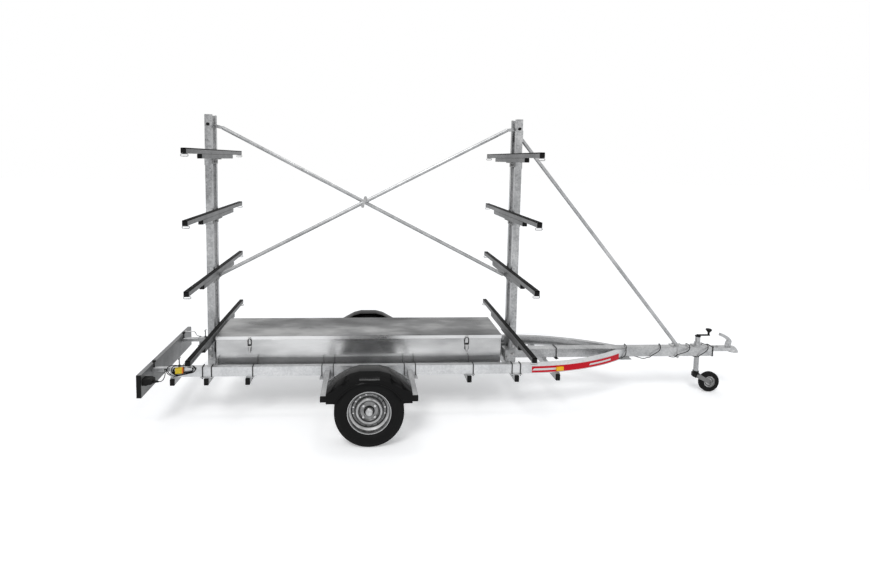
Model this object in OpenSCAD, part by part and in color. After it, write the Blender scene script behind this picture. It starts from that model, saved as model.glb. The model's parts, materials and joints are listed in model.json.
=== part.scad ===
// Trailer for windsurf boards. Two channel rails curve in to a drawbar, and carry one rubber-sprung
// axle, a long sheet-metal box, and two masts whose padded cross bars hold the boards in layers.
// A light board on two arms pulls out of the rails' rear ends.
// Sizes are taken from the wheel axle: X forwards, Y across with the near side at -Y, Z up from
// the ground. from_axle() then moves every piece so that the origin lies on the ground below the
// middle of the overall box.

/* [Frame] */
// Distance between the outer faces of the two rails
frame_w = 708; // [660:2:800]
// Height of the rails' underside above the ground
rail_z = 371; // [350:1:400]
// Height of a rail's channel section
rail_h = 85; // [80:1:110]
// Depth of a rail's channel section
rail_w = 45; // [45:1:60]
// Wall of the rails
rail_t = 4; // [3:0.5:5]
// Height of the lips that edge the channel's open side
rail_lip = 14; // [8:1:20]
// How far the rails reach behind the axle
rail_rear = 1720; // [1715:5:1800]
// Where the rails begin to curve in, ahead of the axle
bend_start = 1450; // [1410:5:1500]
// Radius of the curve, at the rails' outer face
bend_r = 1925; // [1700:5:2100]

/* [Cross beams] */
// Width of a cross beam, along the trailer
beam_w = 40; // [30:1:44]
// Height of a cross beam
beam_h = 60; // [40:1:70]
// Wall of the cross beams
beam_t = 3; // [2:0.5:5]
// How far a cross beam stands out past the rails on each side, with its cap
beam_out = 26; // [15:1:40]
// Thickness of the caps that close square tubes
cap_t = 8; // [4:1:12]
// Place of the beam at the rails' rear ends
tail_beam_x = -1695; // [-1700:5:-1650]
// Place of the beam behind the box's middle
back_beam_x = -1053; // [-1150:5:-950]
// Place of the beam ahead of the wheels
fore_beam_x = 895; // [800:5:950]
// Place of the beam under the curve of the rails
nose_beam_x = 1706; // [1600:5:1800]
// Thickness of the plates between the rails and what is clamped under them
plate_t = 6; // [4:1:10]
// Diameter of the rod of a U-bolt
u_rod = 8; // [6:1:10]

/* [Drawbar] */
// Width of the drawbar
drawbar_w = 80; // [70:1:90]
// Height of the drawbar
drawbar_h = 91; // [70:1:100]
// Wall of the drawbar
drawbar_t = 4; // [3:0.5:6]
// How high the seat pads lift the drawbar over the cross beams
drawbar_pad = 12; // [8:1:20]
// Place of the drawbar's front end
drawbar_x = 3392; // [3360:4:3500]
// Thickness of the drawbar's end flange
flange_t = 8; // [5:1:12]

/* [Coupling] */
// Distance from the end flange to the middle of the ball
ball_reach = 228; // [200:2:260]
// Radius of the ball cup
cup_r = 25.4; // [25.2:0.1:26]
// Outer radius of the coupling's head
head_r = 50; // [42:1:54]
// Height of the coupling's head
head_h = 52; // [48:1:60]
// Depth of the ball cup
cup_depth = 30; // [26:1:32]

/* [Wheels] */
// Distance between the middles of the two tyres
track = 1495; // [1480:5:1560]
// Outer radius of a tyre
tyre_r = 280.5; // [272:0.5:286]
// Width of a tyre
tyre_w = 165; // [150:1:168]
// Radius of the rim's bead seat
rim_r = 165.1; // [155:0.1:175]
// Height of the rim's flanges over the bead seat
rim_flange = 17.3; // [14:0.1:20]
// Radius of the circle of the wheel bolts
bolt_circle_r = 65; // [50:1:70]
// Number of wheel bolts
bolt_count = 4; // [3:1:5]
// Number of vent holes in a wheel disc
vent_count = 16; // [8:1:18]
// Running gap between a shaft and its bore
run_gap = 0.3; // [0.2:0.05:0.6]

/* [Axle] */
// Size of the square axle tube
axle_tube = 80; // [60:1:90]
// How far the axle tube lies ahead of the wheels
arm_reach = 150; // [130:1:180]
// How far the axle tube lies above the wheels' middle
arm_rise = 38; // [36:1:44]
// Distance from the middle of a tyre in to the end of the axle tube
arm_inset = 155.5; // [145:0.5:165]
// Thickness of a swing arm
arm_t = 36; // [25:1:40]
// Radius of a stub axle
stub_r = 15; // [12:0.5:18]

/* [Mudguards] */
// Half the length of a mudguard
guard_half = 340; // [320:1:360]
// Height of a mudguard's crown above the ground
guard_top = 593; // [586:1:630]
// Width of a mudguard
guard_w = 207; // [195:1:215]
// Width of the level crown, from the mudguard's inner edge
guard_crown = 117; // [90:1:140]
// How far the mudguard slopes down from its crown to its outer face
guard_fall = 33; // [15:1:40]
// Radius of the arch in the outer face
arch_r = 300; // [290:1:310]
// How far the arch's middle lies below the wheel's
arch_drop = 50; // [40:1:60]
// Wall of a mudguard
guard_t = 4; // [3:0.5:6]
// Size of the square tubes that carry the mudguards
guard_tube = 48; // [40:1:55]

/* [Masts] */
// Place of the rear mast's beam
mast_rear_x = -1407; // [-1440:1:-1380]
// Place of the front mast's beam
mast_front_x = 1324; // [1300:1:1350]
// Width of a mast post, along the trailer
post_w = 60; // [50:1:70]
// Depth of a mast post, across the trailer
post_d = 40; // [30:1:50]
// Wall of the mast posts
post_t = 4; // [3:0.5:5]
// Height of the posts' lower ends above the ground
post_foot = 315; // [310:1:330]
// How far the masts reach over the highest rack
post_over = 313; // [250:1:380]

/* [Board racks] */
// Length of a rack bar with its end caps
bar_len = 1570; // [1400:10:1620]
// Width of a rack bar
bar_w = 40; // [30:1:44]
// Height of a rack bar without its pad
bar_h = 36; // [25:1:40]
// Wall of the rack bars
bar_t = 3; // [2:0.5:4]
// Thickness of the rubber pad on a rack bar
pad_h = 8; // [4:1:10]
// Height of the lowest rack above the ground
bar_first_z = 706; // [700:1:760]
// Distance from one rack to the next
bar_pitch = 547; // [500:1:560]
// Number of racks on a mast
bar_count = 4; // [2:1:4]
// Length of the bar that stiffens each rack bar from below
support_len = 890; // [700:10:1000]
// Height of that support bar
support_h = 38; // [30:1:42]
// Thickness of the rack bars' end caps
bar_cap = 6; // [4:1:8]
// Thickness of the plates that clamp a rack to its mast
clamp_t = 6; // [4:1:8]

/* [Braces] */
// Diameter of the crossed brace tubes
brace_d = 34; // [24:1:36]
// How far the braces' upper bolts lie below the masts' tops
brace_drop = 88; // [60:1:150]
// Diameter of the stay from the front mast to the drawbar
stay_d = 34; // [30:1:42]
// How far the stay's upper end lies below the front mast's top
stay_drop = 158; // [120:1:250]
// Place of the stay's foot on the drawbar
stay_foot_x = 3060; // [2950:2:3080]

/* [Box] */
// Place of the box's rear end
box_rear = -1362; // [-1370:2:-1200]
// Place of the box's front end
box_front = 1212; // [1100:2:1290]
// Width of the box
box_w = 465; // [420:1:480]
// Height of the box over its seat, without the lid
box_h = 316; // [280:1:330]
// Thickness of the box's sheet
box_t = 3; // [2:0.5:4]
// Height of the lid's rim
lid_rim = 27; // [20:1:40]
// Gap between the lid's rim and the box
lid_gap = 2; // [1.5:0.5:4]

/* [Light board] */
// Half the width of the light board
board_half = 550; // [520:5:700]
// Height of the light board's lower edge
board_z = 290; // [260:1:320]
// Height of the light board
board_h = 193; // [150:1:220]
// Depth of the light board's folded edges
board_d = 37; // [25:1:50]
// Distance from the rails' rear ends to the light board
board_reach = 154; // [130:1:200]
// Size of the square arms that carry the light board
arm_w = 35; // [25:1:35]
// Length of the arms
arm_len = 600; // [520:5:660]
// Depth of a rear lamp, from the light board's web to the lens's face
lamp_d = 30; // [22:1:34]

/* [Jockey wheel] */
// Place of the jockey wheel's tube
jockey_x = 3266; // [3230:1:3280]
// Radius of the outer tube
jockey_r = 22; // [20:0.5:28]
// Wall of the jockey wheel's tubes
jockey_t = 3; // [2:0.5:4]
// Height of the outer tube's upper end
jockey_top = 562; // [550:1:640]
// Radius of the jockey wheel
jockey_wheel_r = 100; // [90:1:115]
// Width of the jockey wheel
jockey_wheel_w = 50; // [40:1:60]
// How far the jockey wheel trails from its tube
jockey_trail = 139; // [120:1:150]

/* [Hidden] */
$fn = 48;

galvanised = "#b4b8ba";
bright_sheet = "#c9cccd";
black_plastic = "#1c1c1d";
black_rubber = "#232324";
wheel_silver = "#b9bcbf";
zinc = "#c2c0b4";
lens_red = "#c01818";
lens_amber = "#f0a010";

board_t = 2.5;
tail_x = -rail_rear - board_reach - max(board_d, board_t + lamp_d);
flange_x = drawbar_x + flange_t;
ball_x = flange_x + ball_reach;
nose_x = ball_x + head_r;
rail_y = frame_w / 2;
rail_top = rail_z + rail_h;
beam_top = rail_z - plate_t;
beam_half = rail_y + beam_out;
drawbar_z = beam_top + drawbar_pad;
drawbar_top = drawbar_z + drawbar_h;
drawbar_rear = mast_front_x - beam_w / 2;
bend_y = rail_y - bend_r;
mast_half = drawbar_w / 2 + post_d;
bars_z = [for (i = [0:bar_count - 1]) bar_first_z + i * bar_pitch];
post_top = bars_z[bar_count - 1] + post_over;
brace_top_z = post_top - brace_drop;
stay_top_z = post_top - stay_drop;
axle_len = track - 2 * arm_inset;
bar_half = bar_len / 2;
support_half = support_len / 2;
support_drop = pad_h + bar_h;
board_x = -rail_rear - board_reach;

// Rows of beams: place along the trailer, half length
BEAMS = [[tail_beam_x, beam_half], [mast_rear_x, beam_half], [back_beam_x, beam_half],
         [fore_beam_x, beam_half], [mast_front_x, beam_half],
         [nose_beam_x, rail_outer_y(nose_beam_x) + beam_out]];

// Distance from the middle to a rail's outer face at a place along the trailer
function rail_outer_y(x) = x <= bend_start ? rail_y
    : bend_y + sqrt(bend_r * bend_r - (x - bend_start) * (x - bend_start));

module from_axle() translate([-(nose_x + tail_x) / 2, 0, 0]) children();

// A copy on each side of the trailer's middle plane
module both_sides() {
    children();
    mirror([0, 1, 0]) children();
}

// Upright rectangle with rounded corners, centred across and standing on its lower edge
module rounded_rect(w, h, r) {
    translate([-w / 2 + r, 0]) square([w - 2 * r, h]);
    translate([-w / 2, r]) square([w, h - 2 * r]);
    for (x = [-w / 2 + r, w / 2 - r], y = [r, h - r]) translate([x, y]) circle(r);
}

// Rectangular tube section with rounded corners
module tube_section(w, h, t, r) difference() {
    rounded_rect(w, h, r);
    translate([0, t]) rounded_rect(w - 2 * t, h - 2 * t, r - t + 0.6);
}

// Extrudes a section, drawn across and up, along the trailer from one place to another
module along(from, to) translate([from, 0, 0]) rotate([90, 0, 90]) linear_extrude(to - from) children();

// Extrudes a section, drawn along the trailer and up, across it from one place to another
module across(from, to) translate([0, to, 0]) rotate([90, 0, 0]) linear_extrude(to - from) children();

// Box from its low corner to its high corner
module block(low, high) translate(low) cube(high - low);

// Round bar between two points
module rod(a, b, r) {
    run = b - a;
    turn = atan2(norm([run.x, run.y]), run.z);
    translate(a) rotate([0, turn, atan2(run.y, run.x)]) cylinder(r = r, h = norm(run));
}

// Rails

// Channel section: the web's outer face lies at rail_w, the lips edge the open side at 0
module channel_section() difference() {
    square([rail_w, rail_h]);
    translate([rail_t, rail_t]) square([rail_w - 2 * rail_t, rail_h - 2 * rail_t]);
    translate([-1, rail_lip]) square([rail_t + 2, rail_h - 2 * rail_lip]);
}

module rail() {
    sweep_deg = acos((drawbar_w / 2 - rail_w - bend_y) / (bend_r - rail_w)) + 3;
    difference() {
        union() {
            along(-rail_rear, bend_start) translate([rail_y - rail_w, rail_z]) channel_section();
            translate([bend_start, bend_y, rail_z])
                rotate([0, 0, 90 - sweep_deg])
                rotate_extrude(angle = sweep_deg, $fn = 240)
                translate([bend_r - rail_w, 0]) channel_section();
        }
        block([bend_start, -rail_y, 0], [drawbar_x, drawbar_w / 2, rail_top + 1]);
    }
}

// The near rail has the hole through which the main cable comes out of its channel
module rail_near() from_axle() color(galvanised) difference() {
    mirror([0, 1, 0]) rail();
    translate(cable_hole) rotate([0, 90, 0]) cylinder(r = 8.5, h = 60, center = true);
}

module rail_far() from_axle() color(galvanised) rail();

// Cross beams and what clamps them

module cross_beams() from_axle() color(galvanised)
    for (b = BEAMS) across(cap_t - b[1], b[1] - cap_t)
        translate([b[0], beam_top - beam_h]) tube_section(beam_w, beam_h, beam_t, 6);

// Caps in the ends of the cross beams and of the mudguards' tubes
module beam_caps() from_axle() color(black_plastic)
    both_sides() {
        for (b = BEAMS) across(b[1] - cap_t, b[1])
            translate([b[0], beam_top - beam_h]) rounded_rect(beam_w, beam_h, 6);
        for (x = [-guard_tube_x, guard_tube_x]) across(guard_tube_out - cap_t, guard_tube_out)
            translate([x, rail_z]) rounded_rect(guard_tube, guard_tube, 6);
    }

// Rows of clamp plates: rear edge, front edge, reach past the rail's outer face, U-bolt places
guard_tube_x = guard_half + guard_tube / 2;
u_side = beam_w / 2 + u_rod + 10;
plate_edge = u_side + 15;
CLAMPS = [
    [tail_beam_x - beam_w / 2, tail_beam_x + beam_w / 2, 16, []],
    [mast_rear_x - u_side - 15, mast_rear_x + plate_edge, 16, [mast_rear_x - u_side, mast_rear_x + u_side]],
    [back_beam_x - beam_w / 2, back_beam_x + plate_edge, 16, [back_beam_x + u_side]],
    [-guard_tube_x - 65, -guard_tube_x + 65, 70, [-guard_tube_x - 50, -guard_tube_x + 50]],
    [guard_tube_x - 65, guard_tube_x + 65, 70, [guard_tube_x - 50, guard_tube_x + 50]],
    [fore_beam_x - beam_w / 2, fore_beam_x + plate_edge, 16, [fore_beam_x + u_side]],
    [mast_front_x - plate_edge, mast_front_x + plate_edge, 16, [mast_front_x - u_side, mast_front_x + u_side]],
    [nose_beam_x - beam_w / 2, nose_beam_x + beam_w / 2, 16, []]];

// Place where the rails' outer faces meet the drawbar's sides
meet_x = bend_start + sqrt(pow(bend_r, 2) - pow(drawbar_w / 2 - bend_y, 2));
tie_rear = meet_x - 90;
tie_front = meet_x + 50;

// Plates under the rails, pads under the drawbar, and the tie plate where they all meet
module clamp_plates() from_axle() color(galvanised) {
    both_sides() for (c = CLAMPS)
        block([c[0], rail_outer_y(c[0]) - rail_w - 16, beam_top], [c[1], rail_outer_y(c[0]) + c[2], rail_z]);
    for (x = [mast_front_x, nose_beam_x])
        block([x - beam_w / 2, -drawbar_w / 2, beam_top], [x + beam_w / 2, drawbar_w / 2, drawbar_z]);
    block([tie_rear, -drawbar_w / 2 - 40, beam_top], [tie_front, drawbar_w / 2 + 40, rail_z]);
    block([tie_rear, -drawbar_w / 2, rail_z], [tie_front, drawbar_w / 2, drawbar_z]);
}

// One U-bolt over a rail, with its nuts under the clamp plate
module u_bolt() {
    r = u_rod / 2;
    y_out = rail_y + r + run_gap;
    y_in = rail_y - rail_w - r - run_gap;
    z_top = rail_top + r + run_gap;
    z_low = beam_top - 12;
    for (y = [y_in, y_out]) {
        translate([0, y, z_low]) cylinder(r = r, h = z_top - z_low);
        translate([0, y, z_top]) sphere(r);
        translate([0, y, beam_top - 7]) cylinder(r = u_rod * 0.9, h = 7, $fn = 6);
    }
    rod([0, y_in, z_top], [0, y_out, z_top], r);
}

module u_bolts() from_axle() color(zinc)
    both_sides() for (c = CLAMPS, x = c[3]) translate([x, 0, 0]) difference() {
        u_bolt();
        block([-20, rail_y - rail_w - 20, beam_top], [20, rail_y + 20, rail_z]);
    }

// Drawbar and coupling

module drawbar() from_axle() color(galvanised) difference() {
    along(drawbar_rear, drawbar_x) translate([0, drawbar_z])
        tube_section(drawbar_w, drawbar_h, drawbar_t, 8);
    translate([jockey_x, 0, drawbar_z - 1]) cylinder(r = jockey_r + run_gap, h = drawbar_h + 2);
}

module drawbar_flange() from_axle() color(black_plastic)
    along(drawbar_x, flange_x) translate([0, drawbar_z - 4]) rounded_rect(drawbar_w + 8, drawbar_h + 8, 8);

// Head: a shank of tapering width that ends in a dome over the ball cup
head_z = drawbar_z + 34;
shank_top = head_z + head_h - 6;
module coupling_head() from_axle() color(zinc) difference() {
    union() {
        translate([ball_x, 0, 0]) rotate_extrude($fn = 72) polygon([
            [0, head_z], [head_r, head_z], [head_r - 2, head_z + 8], [head_r - 6, head_z + 18],
            [head_r - 12, head_z + head_h - 23],
            [head_r - 20, head_z + head_h - 13], [head_r - 28, head_z + head_h - 6],
            [head_r - 38, head_z + head_h - 1],
            [0, head_z + head_h]]);
        translate([0, 0, head_z + 11]) linear_extrude(shank_top - head_z - 11)
            polygon([[flange_x, -30], [ball_x - 60, -32], [ball_x, -40],
                     [ball_x, 40], [ball_x - 60, 32], [flange_x, 30]]);
    }
    translate([ball_x, 0, head_z - 1]) cylinder(r = cup_r, h = cup_depth + 1);
}

// Lever: a foot on the shank and an arm that curves back over it, as distance behind the ball and height
lever_w = 28;
LEVER = [[72, 0], [66, 41], [53, 62], [70, 76], [89, 89], [113, 102], [138, 112], [132, 137], [104, 129], [77, 115],
         [56, 102], [39, 87], [26, 71], [20, 53], [24, 35], [29, 0]];
module coupling_lever() from_axle() color(zinc) {
    across(-lever_w / 2, lever_w / 2) polygon([for (p = LEVER) [ball_x - p[0], shank_top + p[1]]]);
    across(-lever_w / 2 - 6, lever_w / 2 + 6) translate([ball_x - 44, shank_top + 22]) circle(9);
}

// Axle

axle_x = arm_reach;
axle_z = tyre_r + arm_rise;
arm_y = axle_len / 2;

module axle_tube() from_axle() color(galvanised)
    across(-axle_len / 2, axle_len / 2) translate([axle_x, axle_z - axle_tube / 2])
        tube_section(axle_tube, axle_tube, 5, 10);

// Saddles that bolt the axle tube under the rails
saddle_half = 90;
saddle_t = 8;
saddle_over = 6;
module axle_brackets() from_axle() color(galvanised) {
    tube_top = axle_z + axle_tube / 2;
    both_sides() {
        block([axle_x - saddle_half, rail_y - rail_w - saddle_over, tube_top],
              [axle_x + saddle_half, rail_y + saddle_over, rail_z]);
        for (x = [axle_x - axle_tube / 2 - saddle_t, axle_x + axle_tube / 2])
            block([x, rail_y - rail_w - saddle_over, axle_z - axle_tube / 4],
                  [x + saddle_t, rail_y + saddle_over, tube_top]);
    }
}

module swing_arms() from_axle() color(galvanised)
    both_sides() across(arm_y, arm_y + arm_t) difference() {
        union() {
            translate([axle_x, axle_z]) circle(42);
            translate([0, tyre_r]) circle(32);
            polygon([[axle_x - 10, axle_z + 40], [axle_x + 10, axle_z - 40], [6, tyre_r - 31], [-6, tyre_r + 31]]);
        }
        translate([0, tyre_r]) circle(stub_r + 0.1);
    }

module stub_axles() from_axle() color(zinc)
    both_sides() translate([0, arm_y, tyre_r]) rotate([-90, 0, 0])
        cylinder(r = stub_r, h = track / 2 - arm_y + 34);

// Wheels

// Places a shape, turned about Z with its outer side up, at one wheel: side -1 near, 1 far
module at_wheel(side) from_axle() translate([0, side * track / 2, tyre_r]) rotate([-90 * side, 0, 0]) children();

// Tyre section: bead, sidewall, shoulder and crown, then back inside the casing
tyre_wall = 9;
module tyre(side) at_wheel(side) color(black_rubber) rotate_extrude($fn = 96) polygon([
    for (s = [1, -1]) each [
        for (p = (s > 0 ? TYRE_SIDE : [for (i = [len(TYRE_SIDE) - 1:-1:0]) TYRE_SIDE[i]])) [p[0], s * p[1]]],
    for (s = [-1, 1]) each [
        for (p = (s < 0 ? TYRE_INSIDE : [for (i = [len(TYRE_INSIDE) - 1:-1:0]) TYRE_INSIDE[i]])) [p[0], s * p[1]]]]);
half_tyre = tyre_w / 2;
TYRE_SIDE = [[rim_r + run_gap, half_tyre - 21.4], [rim_r + rim_flange, half_tyre - 20.4],
             [rim_r + rim_flange + 5, half_tyre - 13], [rim_r + rim_flange + 16, half_tyre - 4],
             [(rim_r + tyre_r) / 2 + 4, half_tyre],
             [tyre_r - 28, half_tyre - 3], [tyre_r - 12, half_tyre - 11],
             [tyre_r - 4, half_tyre - 22], [tyre_r, half_tyre - 36]];
TYRE_INSIDE = [[rim_r + run_gap, half_tyre - 34], [rim_r + rim_flange + 16, half_tyre - 4 - tyre_wall],
               [(rim_r + tyre_r) / 2 + 4, half_tyre - tyre_wall], [tyre_r - 28, half_tyre - 3 - tyre_wall],
               [tyre_r - tyre_wall - 2, half_tyre - 36]];

// Rim: two flanges, bead seats and the well, with the pressed disc inside
disc_face = 30;
disc_t = 5;
disc_hole_r = 38;
vent_r = 7;
vent_inset = 36;

// Wave of the pressed disc: distance inside the bead seat, height of the outer face
DISC = [[20, 14], [23, 17], [30, 22], [43, 24], [49, 23], [55, 35], [62, 44], [70, 46],
        [78, 42], [84, 31], [89, 26], [95, disc_face]];
module rim(side) at_wheel(side) color(wheel_silver) difference() {
    rotate_extrude($fn = 96) {
        flange_y = half_tyre - 22;
        polygon([[rim_r, flange_y + 1], [rim_r + rim_flange, flange_y + 2], [rim_r + rim_flange, flange_y + 6],
                 [rim_r - 3, flange_y + 5], [rim_r - 4, 34], [rim_r - 22, 22], [rim_r - 22, -30],
                 [rim_r - 4, -40], [rim_r - 3, -flange_y - 5], [rim_r + rim_flange, -flange_y - 6],
                 [rim_r + rim_flange, -flange_y - 2], [rim_r, -flange_y - 1], [rim_r, -38],
                 [rim_r - 18, -28], [rim_r - 18, 20], [rim_r, 32]]);
        polygon(concat([for (d = DISC) [rim_r - d[0], d[1]]],
                       [[disc_hole_r, disc_face], [disc_hole_r, disc_face - disc_t]],
                       [for (i = [len(DISC) - 1:-1:0]) [rim_r - DISC[i][0], DISC[i][1] - disc_t]]));
    }
    for (i = [0:bolt_count - 1]) rotate([0, 0, 45 + i * 360 / bolt_count])
        translate([bolt_circle_r, 0, 0]) cylinder(r = 7, h = 60, $fn = 24);
    for (i = [0:vent_count - 1]) rotate([0, 0, (i + 0.5) * 360 / vent_count])
        translate([rim_r - vent_inset, 0, 0]) cylinder(r = vent_r, h = 60, $fn = 24);
}

// Hub: barrel, flange, nose with its grease cap, and the wheel bolts
hub_flange_t = 12;
hub_cap_r = 32;
module hub(side) at_wheel(side) color(zinc) difference() {
    union() {
        translate([0, 0, -44]) cylinder(r = 36, h = 60);
        translate([0, 0, disc_face - disc_t - hub_flange_t])
            cylinder(r = rim_r - DISC[len(DISC) - 1][0], h = hub_flange_t);
        translate([0, 0, 10]) cylinder(r = hub_cap_r, h = 42);
        translate([0, 0, 52]) cylinder(r1 = hub_cap_r, r2 = hub_cap_r - 6, h = 8);
        for (i = [0:bolt_count - 1]) rotate([0, 0, 45 + i * 360 / bolt_count])
            translate([bolt_circle_r, 0, 0]) {
                translate([0, 0, 16]) cylinder(r = 6.7, h = 20, $fn = 24);
                translate([0, 0, disc_face]) cylinder(r1 = 12, r2 = 9, h = 14, $fn = 24);
            }
    }
    translate([0, 0, -50]) cylinder(r = stub_r + run_gap, h = 50 + 34 + 2);
}

module tyre_near() tyre(-1);
module rim_near() rim(-1);
module hub_near() hub(-1);
module tyre_far() tyre(1);
module rim_far() rim(1);
module hub_far() hub(1);

// Mudguards

guard_out = track / 2 + tyre_w / 2 + 10;
guard_in = guard_out - guard_w;
lip_w = 12;
lip_t = 4;

// Half of a mudguard's outline, foot to crown, lowered by drop, for a surface that lies t inside
function guard_side(drop, t) = [
    [guard_half - t, rail_z - t], [guard_half - t, rail_z + 84 - drop / 4 - t],
    [guard_half - 94 - t, guard_top - 70 - drop - t],
    [guard_half - 180 - t, guard_top - 21 - drop - t], [guard_half - 258 - t, guard_top - drop - t]];

module guard_outline(drop, t) polygon(concat(guard_side(drop, t),
    [for (i = [4:-1:0]) [-guard_side(drop, t)[i].x, guard_side(drop, t)[i].y]]));

// Dome of a mudguard: level over the crown, then sloping down to the outer face
module guard_dome(t, from) hull() {
    across(from, guard_in + guard_crown) guard_outline(0, t);
    across(guard_out - t - 1, guard_out - t) guard_outline(guard_fall, t);
}

module at_arch(y) translate([0, y, tyre_r - arch_drop]) rotate([-90, 0, 0]) children();

module guard() {
    difference() {
        guard_dome(0, guard_in);
        guard_dome(guard_t, guard_in - 1);
        at_arch(guard_out - guard_t - 2) cylinder(r = arch_r, h = guard_t + 3, $fn = 120);
    }
    difference() {
        at_arch(guard_out) cylinder(r = arch_r + lip_w, h = lip_t, $fn = 120);
        at_arch(guard_out - 1) cylinder(r = arch_r, h = lip_t + 2, $fn = 120);
        block([-guard_half, guard_out - 1, 0], [guard_half, guard_out + lip_t + 1, rail_z]);
        block([-guard_half - 1, guard_out - 1, -arch_r], [guard_half + 1, guard_out + lip_t + 1, 0]);
    }
}

module guard_near() from_axle() color(black_plastic) mirror([0, 1, 0]) guard();

module guard_far() from_axle() color(black_plastic) guard();

guard_tube_out = guard_out - 30;
module guard_beams() from_axle() color(galvanised)
    both_sides() for (x = [-guard_tube_x, guard_tube_x]) across(rail_y, guard_tube_out - cap_t)
        translate([x, rail_z]) tube_section(guard_tube, guard_tube, 3, 6);

// Masts: x is the beam, out is the side of it on which the posts stand, -1 behind, 1 ahead

brace_bolt_r = 8;
module post(x, out) difference() {
    x0 = x + out * (beam_w / 2 + post_w / 2) - post_w / 2;
    block([x0, drawbar_w / 2, post_foot], [x0 + post_w, mast_half, post_top]);
    block([x0 + post_t, drawbar_w / 2 - 1, post_foot - 1],
          [x0 + post_w - post_t, mast_half - post_t, post_top + 1]);
    translate([x0 + post_w / 2, 0, brace_top_z]) rotate([-90, 0, 0])
        cylinder(r = brace_bolt_r + run_gap, h = mast_half + 1);
}

module mast_rear() from_axle() color(galvanised) both_sides() post(mast_rear_x, -1);

module mast_front() from_axle() color(galvanised) both_sides() post(mast_front_x, 1);

// Bolted gussets between a mast's feet and its beam
module mast_feet() from_axle() color(galvanised)
    both_sides() for (m = [[mast_rear_x, -1], [mast_front_x, 1]]) {
        mid = m[0] + m[1] * (beam_w / 2 + post_w / 2);
        low = min(mid - post_w / 2, m[0] - beam_w / 2);
        across(mast_half, mast_half + clamp_t) translate([low, beam_top]) square([post_w + beam_w, 110]);
        across(mast_half, mast_half + clamp_t) translate([mid - post_w / 2, beam_top + 110]) square([post_w, 60]);
        for (p = [[mid, beam_top + 145], [mid, beam_top + 70], [m[0], beam_top + 40]])
            translate([p[0], mast_half + clamp_t, p[1]]) rotate([-90, 0, 0]) cylinder(r = 11, h = 9, $fn = 24);
    }

// Racks

// Runs its children once for every rack: at the bar's middle plane, at the pad's top
module at_racks() for (m = [[mast_rear_x, -1], [mast_front_x, 1]], z = bars_z)
    translate([m[0], 0, z]) children();

module rack_bars() from_axle() color(galvanised)
    at_racks() across(bar_cap - bar_half, bar_half - bar_cap)
        translate([0, -support_drop]) tube_section(bar_w, bar_h, bar_t, 5);

module rack_supports() from_axle() color(galvanised)
    at_racks() across(bar_cap - support_half, support_half - bar_cap)
        translate([0, -support_drop - support_h]) tube_section(bar_w, support_h, bar_t, 5);

module rack_pads() from_axle() color(black_rubber)
    at_racks() across(bar_cap - bar_half, bar_half - bar_cap) translate([-18, -pad_h]) square([36, pad_h]);

module rack_caps() from_axle() color(black_plastic)
    at_racks() both_sides() {
        across(bar_half - bar_cap, bar_half) translate([0, -support_drop]) rounded_rect(bar_w, support_drop, 5);
        across(support_half - bar_cap, support_half)
            translate([0, -support_drop - support_h]) rounded_rect(bar_w, support_h, 5);
    }

// Lashing rings of round wire, welded under the bar ends
ring_rod = 3.5;
ring_w = 28;
ring_h = 24;
module rack_rings() from_axle() color(zinc)
    at_racks() both_sides() translate([0, bar_half - bar_cap - 14, -support_drop - ring_h / 2]) {
        run = ring_w - ring_h / 2 + ring_rod;
        for (s = [-1, 1]) {
            rod([-run, 0, s * (ring_h / 2 - ring_rod)], [run, 0, s * (ring_h / 2 - ring_rod)], ring_rod);
            translate([s * run, 0, 0]) rotate([90, 0, 0]) rotate([0, 0, s > 0 ? -90 : 90])
                rotate_extrude(angle = 180) translate([ring_h / 2 - ring_rod, 0]) circle(ring_rod, $fn = 24);
        }
    }

// Angle under each rack, bolted through the mast to a plate on its other face
module rack_clamps() from_axle() color(zinc)
    for (m = [[mast_rear_x, -1], [mast_front_x, 1]], z = bars_z)
        translate([m[0], 0, z - support_drop - support_h]) mirror([m[1] < 0 ? 1 : 0, 0, 0]) {
            face = beam_w / 2;
            block([-bar_w / 2, -mast_half + 5, -8], [face, mast_half - 5, 0]);
            block([face - clamp_t, -mast_half + 5, -46], [face, mast_half - 5, -8]);
            block([face + post_w, -mast_half + 5, -60], [face + post_w + clamp_t, mast_half - 5, 0]);
            for (y = [-24, 24]) rod([face - 12, y, -28], [face + post_w + 16, y, -28], 5);
        }

// Braces and stay

brace_r = brace_d / 2;
brace_y = brace_r + 1;
strap_t = 6;
post_mid_rear = mast_rear_x - beam_w / 2 - post_w / 2;
post_mid_front = mast_front_x + beam_w / 2 + post_w / 2;
brace_low_z = bars_z[1] - support_drop - support_h / 2;

// Brace between a mast and the rack two thirds down the other mast: x and z of both tube ends
module brace(top_x, tube_top, tube_low, low_x, y) {
    translate([0, y, 0]) {
        rod([tube_top[0], 0, tube_top[1]], [tube_low[0], 0, tube_low[1]], brace_r);
        across(-strap_t / 2, strap_t / 2) {
            polygon([[top_x, brace_top_z + 16], [tube_top[0], tube_top[1] + 14],
                     [tube_top[0], tube_top[1] - 14], [top_x, brace_top_z - 16]]);
            translate([top_x, brace_top_z]) circle(16);
            polygon([[tube_low[0], tube_low[1] + 14], [low_x, brace_low_z + 18],
                     [low_x, brace_low_z - 18], [tube_low[0], tube_low[1] - 14]]);
        }
    }
    translate([top_x, -mast_half - 8, brace_top_z]) rotate([-90, 0, 0])
        cylinder(r = brace_bolt_r, h = 2 * mast_half + 16);
}

// Ends of the two brace tubes, as place along the trailer and height
strap_len = 100;
falling_dip = 25;
rising_dip = 10;
low_gap = 36;
low_shift = 8;
FALLING = [[post_mid_rear + strap_len, brace_top_z - falling_dip],
           [mast_front_x - low_gap, brace_low_z - low_shift]];
RISING = [[post_mid_front - strap_len, brace_top_z - rising_dip],
          [mast_rear_x + low_gap, brace_low_z + low_shift]];

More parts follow.
